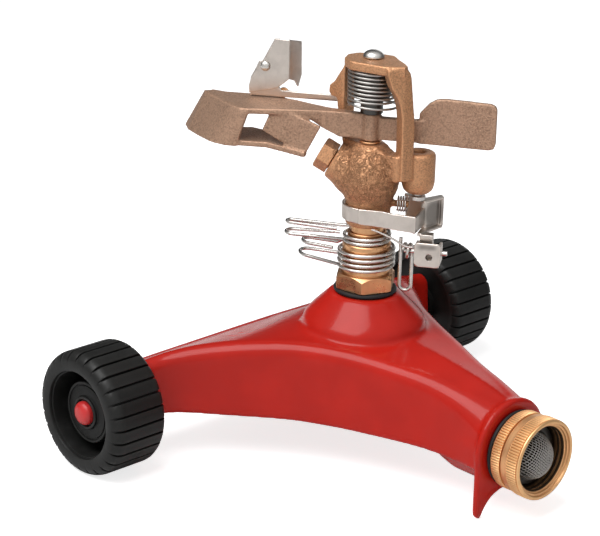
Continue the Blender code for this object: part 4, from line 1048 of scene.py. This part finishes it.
def hairpin(free_end, far, near, height):
    """A flat hairpin at one height: from its free end out along one leg, round, and back."""
    first = Vector(far)
    second = Vector(near)
    centre = (first + second) / 2
    half = (first - second).length / 2
    out = (first + second).normalized()
    across = (first - second).normalized()
    points = [(*free_end, height)]
    bend_steps = 12
    for step in range(bend_steps + 1):
        turn = math.pi * step / bend_steps
        place = centre + across * half * math.cos(turn) + out * half * math.sin(turn)
        points.append((*place, height))
    return points


def round_the_riser(radius, angle, height):
    """A point at this radius, angle and height."""
    return (radius * math.cos(angle), radius * math.sin(angle), height)


def collar_points(radius, bottom, pitch, turns, start_turn, first_finger, last_finger):
    """A friction collar: a wire coil whose two ends run out into hairpin fingers and back."""
    steps = round(turns * 56)
    coil = [round_the_riser(radius, start_turn + 2 * math.pi * turns * step / steps,
                            bottom + pitch * turns * step / steps) for step in range(steps + 1)]
    return first_finger(bottom) + coil + last_finger(bottom + pitch * turns)


class SPRINKLER_OT_collars(bpy.types.Operator):
    """The two friction collars of bright wire, whose hairpin fingers set the watered arc."""
    bl_idname = "sprinkler.collars"
    bl_label = "Friction collars"
    bl_options = {"REGISTER", "UNDO"}

    def execute(self, context):
        radius = context.scene.sprinkler_head.collar_wire / 2
        low = collar_points(
            11.45, 80.6, 2.2, 3.88, math.radians(197),
            lambda top: hairpin((-13.4, 9.4), (-25.6, 11), (-24.4, 1.4), top + 0.6),
            lambda top: [*hairpin((-13.6, 7.4), (-25.2, 9.4), (-24.4, 2), top - 2.4),
                         (-14.2, -0.6, top - 2.4)])
        high = collar_points(
            9.5, 91.8, 1.95, 1.86, math.radians(200),
            lambda top: hairpin((-12.4, 5.4), (-31.4, 4.2), (-31.2, -2.4), top),
            lambda top: [*hairpin((-12, 6), (-33.4, 7.6), (-33.2, 3.6), top - 0.7),
                         (-13, 1, top - 0.7)])
        wire_piece("lower_wire_collar", [low], radius, "wire", "lower_collar", "collar_lower")
        wire_piece("upper_wire_collar", [high], radius, "wire", "upper_collar", "collar_upper")
        return {"FINISHED"}


def ramp(value, low, high):
    """Rise evenly from 0 to 1 while the value goes from low to high."""
    return min(1.0, max(0.0, (value - low) / (high - low)))


def wrinkle_bulb(mesh, depth):
    """Work the folds of the cast skin into the bulb under the yoke."""
    away = HEAD_PLACE.inverted()
    places = []
    for vert in mesh.vertices:
        local = away @ vert.co / MM
        radius = math.hypot(local.x, local.y)
        bulb = ramp(radius, 14.5, 12.5) * ramp(radius, 7.6, 8.4)
        bulb *= ramp(local.z, 104, 108) * ramp(local.z, 135, 132)
        fold = noise.turbulence(local * 0.7, 3, True, noise_basis="PERLIN_ORIGINAL")
        places.extend(vert.co + vert.normal * depth * (fold - 0.5) * 1.6 * bulb)
    mesh.vertices.foreach_set("co", places)
    mesh.update()


class SPRINKLER_OT_body(bpy.types.Operator):
    """The cast body with its wrinkled bulb, the nozzle in its socket, and the fulcrum pin."""
    bl_idname = "sprinkler.body"
    bl_label = "Body, nozzle and pin"
    bl_options = {"REGISTER", "UNDO"}

    def execute(self, context):
        sizes = context.scene.sprinkler_head
        leg = HEAD_PLACE @ shifted(*YOKE_LEG) @ Matrix.Rotation(YOKE_LEG_TURN, 4, "Z")
        facet = [(-2.6, -3.7), (-2.6, -6), (8, -6), (8, -0.6)]
        boss = [(0, 114), (4.6, 114), (6.2, 115.6), (6.9, 118.4), (6.9, 130.3), (5.9, 131.4), (0, 131.4)]
        hole = [(0, 110), (2.4, 110), (2.4, 140), (0, 140)]
        body = recast("sprinkler_body", "body_casting", "bronze", "head", sizes.cast_grain, 5, [
            ("DIFFERENCE", prism("leg facet", facet, 116, 170, leg)),
            ("UNION", turned("side boss", boss, BOSS_PLACE)),
            ("DIFFERENCE", turned("boss hole", hole, BOSS_PLACE)),
        ])
        wrinkle_bulb(body.data, sizes.wrinkle)
        recast("nozzle", "nozzle_brass", "bronze", "head", FINE_SKIN * MM, 2)
        pin = [(0, 126.4), (2, 126.4), (2, 169.5), (4.2, 169.5), (4.35, 169.8), (4.2, 170.4), (3.8, 171.1),
               (3.1, 171.7), (2.0, 172.2), (1.0, 172.38), (0, 172.4)]
        turned_piece("fulcrum_domed_pin", pin, "wire", "head", "fulcrum_pin", HEAD_PLACE, bevel=0.08)
        washer = [(2.3, 134), (4.6, 134), (4.6, 134.7), (2.3, 134.7)]
        turned_piece("arm_brass_washer", washer, "brass", "head", "arm_washer", HEAD_PLACE, bevel=0.12)
        return {"FINISHED"}


def spring_points():
    """The arm spring: eight close turns, then a wide last turn down to the arm."""
    radius = 9.9
    top = 164.6
    pitch = 1.67
    turns = 8
    turn_steps = 48
    start = math.radians(200)
    last = int(0.9 * turn_steps)
    points = []
    for step in range(turns * turn_steps + 1):
        angle = start + 2 * math.pi * step / turn_steps
        points.append(round_the_riser(radius, angle, top - pitch * step / turn_steps))
    for step in range(1, last + 1):
        angle = start + 2 * math.pi * step / turn_steps
        spread = radius + 0.8 * math.sin(math.pi * min(step / turn_steps, 0.5))
        points.append(round_the_riser(spread, angle, top - pitch * turns - 3.4 * step / last))
    return points


class SPRINKLER_OT_arm(bpy.types.Operator):
    """The impact arm with its vane and spoon, and the coil spring round the fulcrum pin."""
    bl_idname = "sprinkler.arm"
    bl_label = "Arm and spring"
    bl_options = {"REGISTER", "UNDO"}

    def execute(self, context):
        sizes = context.scene.sprinkler_head
        recast("impact_arm", "arm_casting", "blasted", "arm", sizes.cast_grain * 0.9, 4)
        wire_piece("arm_coil_spring", [spring_points()], sizes.spring_wire / 2, "spring", "arm", "arm_spring")
        sleeve = [(2.4, 146.3), (4.6, 146.3), (4.6, 152.4), (7.2, 153), (7.6, 153.6), (7.6, 163.4),
                  (2.4, 163.4)]
        piece = linked("arm_spring_sleeve", turned("arm_spring_sleeve", sleeve, HEAD_PLACE))
        settle(piece, "dark", "arm", bevel=0.2)
        return {"FINISHED"}


class SPRINKLER_OT_deflector(bpy.types.Operator):
    """The steel strip on the yoke and the folded flap riveted to its upright."""
    bl_idname = "sprinkler.deflector"
    bl_label = "Jet deflector"
    bl_options = {"REGISTER", "UNDO"}

    def execute(self, context):
        strip = [(-14.2, 147.5), (-14.2, 150), (-39.4, 150.3), (-41, 152.4), (-42.4, 162.4), (-49, 162.4),
                 (-50.6, 158.8), (-52.6, 155), (-52.6, 147.5)]
        stand = HEAD_PLACE @ Matrix.Rotation(math.pi / 2, 4, "X")
        bracket = linked("deflector_steel_strip", prism("deflector_steel_strip", strip, -9.3, -8.1, stand))
        rivet_place = HEAD_PLACE @ along_y(-46.1 * MM, 0, 160.5 * MM)
        rivet_hole = [(0, 5), (1.35, 5), (1.35, 12), (0, 12)]
        shape_with(bracket, [("DIFFERENCE", turned("rivet hole", rivet_hole, rivet_place))])
        skinned(bracket, FINE_SKIN * MM, 2)
        settle(bracket, "sheet", "head", "deflector_bracket")
        recast("deflector_flap", "deflector_steel_flap", "sheet", "flap", 0.22 * MM, 2)
        rivet = [(0, 5.4), (1.2, 5.6), (1.9, 6.1), (2.1, 6.5), (1.05, 6.5), (1.05, 9.6), (2.1, 9.6),
                 (1.7, 10.4), (0, 10.6)]
        turned_piece("deflector_steel_rivet", rivet, "wire", "head", "deflector_rivet", rivet_place,
                     bevel=0.1)
        screw = [(0, 9.35), (2.1, 9.35), (2.1, 10.8), (1.9, 11.4), (1.3, 11.85), (0, 12)]
        turned_piece("deflector_brass_screw", screw, "brass", "head", "deflector_screw",
                     HEAD_PLACE @ along_y(-38.8 * MM, 0, 149 * MM), bevel=0.1)
        return {"FINISHED"}


def finger_points():
    """The trip's wire finger: a hanging hairpin whose right leg winds round the pivot pin."""
    along, height = TRIP_AXIS
    winding = 2.7
    level = along + winding
    left = 14.45
    right = 19.3
    bottom = 73.4
    half = (right - left) / 2
    bend_steps = 18
    turn_steps = 50
    points = [(left, level, 94), (left, level, 84), (left, level, bottom)]
    for step in range(1, bend_steps):
        turn = math.pi * step / bend_steps
        points.append((left + half * (1 - math.cos(turn)), level, bottom - half * math.sin(turn)))
    points += [(right, level, bottom), (right, level, 82)]
    for step in range(73):
        turn = 2 * math.pi * step / turn_steps
        points.append((right - 2.16 * step / turn_steps, along + winding * math.cos(turn),
                       height + winding * math.sin(turn)))
    return points


class SPRINKLER_OT_trip(bpy.types.Operator):
    """The trip under the side boss: strap and bracket, pins, springs, the block and its wire finger."""
    bl_idname = "sprinkler.trip"
    bl_label = "Trip"
    bl_options = {"REGISTER", "UNDO"}

    def execute(self, context):
        recast("trip_bracket", "trip_steel_bracket", "sheet", "head", 0.28 * MM, 2)
        recast("trip_block", "trip_steel_block", "sheet", "trip", 0.24 * MM, 3)
        boss_pin = [(0, 110.9), (3.4, 110.9), (3.4, 112.6), (2, 112.6), (2, 129), (0, 129)]
        turned_piece("side_boss_pin", boss_pin, "wire", "head", "boss_pin", BOSS_PLACE, bevel=0.2)
        cross = HEAD_PLACE @ along_x(0, TRIP_AXIS[0] * MM, TRIP_AXIS[1] * MM)
        pivot = [(0, 16.2), (1, 16.2), (1, 34.3), (0, 34.3)]
        turned_piece("trip_steel_pivot", pivot, "wire", "head", "trip_pivot_pin", cross, bevel=0.2)
        wire_piece("trip_wire_finger", [finger_points()], 0.75 * MM, "wire", "trip", "trip_finger")
        radius = 3.1
        turn_steps = 36
        spring = []
        for step in range(161):
            angle = 2 * math.pi * step / turn_steps - math.pi / 2
            spring.append((11.9 + 1.04 * step / turn_steps, 0.5 + radius * math.cos(angle),
                           108.2 + radius * math.sin(angle)))
        wire_piece("trip_coil_spring", [spring], 0.3 * MM, "wire", "head", "trip_spring", sides=10)
        over = [(3.4, -9.9, 99.4), (7.4, -9.9, 98.2), (12.6, -9.8, 96), (16.4, -9.7, 93.9),
                (18.4, -9.6, 93.2), (20.6, -9.3, 93)]
        curve = smooth_curve([Vector(point) for point in over], 6)
        wire_piece("trip_over_centre_wire", [curve], 0.45 * MM, "wire", "head", "over_centre_wire")
        return {"FINISHED"}


def lamp(name, power, size, place):
    """A soft area lamp that shines at a point of the object."""
    light = bpy.data.lights.new(name, "AREA")
    light.energy = power
    light.shape = "RECTANGLE"
    light.size = size[0]
    light.size_y = size[1]
    made = linked(name, light)
    made.location = place
    towards = Vector((0, 0, 0.06)) - Vector(place)
    made.rotation_euler = towards.to_track_quat("-Z", "Y").to_euler()


class SPRINKLER_OT_camera(bpy.types.Operator):
    """The camera at the photograph's viewing angle."""
    bl_idname = "sprinkler.camera"
    bl_label = "Camera"
    bl_options = {"REGISTER", "UNDO"}

    def execute(self, context):
        turn = math.radians(-43.8)
        rise = math.radians(20.06)
        roll = math.radians(1.5)
        distance = 0.86987
        shift = -0.02751
        target = Vector((shift * math.cos(turn), shift * math.sin(turn) + RISER_Y, 0.07798))
        back = Vector((math.sin(turn) * math.cos(rise), -math.cos(turn) * math.cos(rise), math.sin(rise)))
        level = (-back).cross(Vector((0, 0, 1))).normalized()
        upright = level.cross(-back)
        right = level * math.cos(roll) + upright * math.sin(roll)
        up = upright * math.cos(roll) - level * math.sin(roll)
        data = bpy.data.cameras.new("photograph camera")
        data.sensor_width = 36
        data.lens = 124.66
        data.clip_start = 0.01
        camera = linked("photograph camera", data)
        matrix = Matrix((right, up, back)).transposed().to_4x4()
        matrix.translation = target + back * distance
        camera.matrix_world = matrix
        context.scene.camera = camera
        return {"FINISHED"}


# How much the floor shines of itself where the camera sees it, so that it comes out white where nothing
# shades it, and between which distances in millimetres it fades to plain white
FLOOR_GLOW = 0.76
FLOOR_FADE = (450, 1100)


def plain_floor(colour):
    """A plain floor that keeps the object's shadow, and is white far away and where nothing shades it."""
    finish = Finish("plain_floor", Roughness=0.9, Specular_IOR_Level=0.0)
    tone = finish.mix(finish.grain(40, 2), shade(colour, 0.995), shade(colour, 1.0))
    finish.feed(finish.shader.inputs["Base Color"], tone)

    def glow(strength):
        return finish.node("ShaderNodeEmission", {}, {"Color": (1, 1, 1, 1), "Strength": strength})

    seen = finish.node("ShaderNodeLightPath", {}, {}, "Is Camera Ray")
    extra = finish.node("ShaderNodeMixShader", {}, {0: seen, 1: glow(0.0), 2: glow(FLOOR_GLOW)})
    lit = Value(finish, finish.shader.outputs[0])
    near = finish.node("ShaderNodeAddShader", {}, {0: extra, 1: lit})
    far = seen * finish.step(finish.reach((0, 0, 0), (1, 1, 0)), *FLOOR_FADE)
    ground = finish.node("ShaderNodeMixShader", {}, {0: far, 1: near, 2: glow(1.0)})
    finish.feed(finish.nodes["Material Output"].inputs["Surface"], ground)
    bm = bmesh.new()
    bmesh.ops.create_grid(bm, x_segments=2, y_segments=2, size=3)
    floor = linked("studio_floor", mesh_from("studio_floor", bm))
    floor.location.z = CAD_BOX[0].z - 0.0001
    floor.data.materials.append(finish.material)


def studio_world(ambient):
    """White where it is seen, dim where it lights, and a studio with two bright sides in reflections."""
    world = bpy.data.worlds.new("studio")
    bpy.context.scene.world = world
    world.use_nodes = True
    tree = Tree(world.node_tree)
    direction = tree.node("ShaderNodeTexCoord", {}, {}, "Generated")

    def ray(kind):
        return tree.node("ShaderNodeLightPath", {}, {}, kind)

    def side(towards, low, high, dimmest):
        facing = tree.vector_maths("DOT_PRODUCT", direction, Vector(towards).normalized(), "Value")
        return tree.step(facing, low, high, dimmest)

    above_left = side((-0.45, -0.35, 0.82), -0.1, 0.95, 0.05)
    right = side((0.87, 0.47, 0.1), 0.93, 0.98, 0.0)
    reflected = above_left.larger(right)
    light = tree.node("ShaderNodeMix", {}, {0: ray("Is Glossy Ray"), 2: ambient, 3: reflected})
    white = ray("Is Camera Ray").larger(ray("Is Transmission Ray"))
    background = tree.nodes["Background"]
    tree.feed(background.inputs["Color"], (1, 1, 1, 1))
    tree.feed(background.inputs["Strength"], white.larger(light))


class SPRINKLER_OT_studio(bpy.types.Operator):
    """The plain floor, which keeps the object's shadow, the world and the lamps."""
    bl_idname = "sprinkler.studio"
    bl_label = "Studio"
    bl_options = {"REGISTER", "UNDO"}

    def execute(self, context):
        settings = context.scene.sprinkler_studio
        context.scene.view_settings.view_transform = "Standard"
        plain_floor(settings.floor)
        studio_world(settings.ambient)
        lamp("key lamp", settings.key_power, (1.2, 1.0), (-0.66, 0.02, 1.25))
        lamp("fill lamp", settings.fill_power, (0.6, 0.9), (1.15, -0.55, 0.55))
        return {"FINISHED"}


OPERATORS = [
    SPRINKLER_OT_base,
    SPRINKLER_OT_wheels,
    SPRINKLER_OT_coupling,
    SPRINKLER_OT_bearing,
    SPRINKLER_OT_collars,
    SPRINKLER_OT_body,
    SPRINKLER_OT_arm,
    SPRINKLER_OT_deflector,
    SPRINKLER_OT_trip,
    SPRINKLER_OT_camera,
    SPRINKLER_OT_studio,
]
SETTINGS = {
    "sprinkler_base": BaseSizes,
    "sprinkler_wheels": WheelSizes,
    "sprinkler_coupling": CouplingSizes,
    "sprinkler_head": HeadSizes,
    "sprinkler_colours": FinishColours,
    "sprinkler_studio": StudioSettings,
}


class SPRINKLER_PT_panel(bpy.types.Panel):
    """Sizes, colours and steps of the sprinkler."""
    bl_label = "Impulse sprinkler"
    bl_space_type = "VIEW_3D"
    bl_region_type = "UI"
    bl_category = "Sprinkler"

    def draw(self, context):
        for name, group in SETTINGS.items():
            section = self.layout.box()
            for key in group.__annotations__:
                section.prop(getattr(context.scene, name), key)
        for kind in OPERATORS:
            self.layout.operator(kind.bl_idname)


def register():
    for group in [*SETTINGS.values(), *OPERATORS, SPRINKLER_PT_panel]:
        bpy.utils.register_class(group)
    for name, group in SETTINGS.items():
        setattr(bpy.types.Scene, name, PointerProperty(type=group))


def unregister():
    for name in SETTINGS:
        delattr(bpy.types.Scene, name)
    for group in [SPRINKLER_PT_panel, *OPERATORS[::-1], *SETTINGS.values()]:
        bpy.utils.unregister_class(group)


def main():
    """Register the add-on and build every piece in order."""
    register()
    for kind in OPERATORS:
        getattr(bpy.ops.sprinkler, kind.bl_idname.split(".")[1])()
    bpy.context.view_layer.update()


if __name__ == "__main__":
    main()
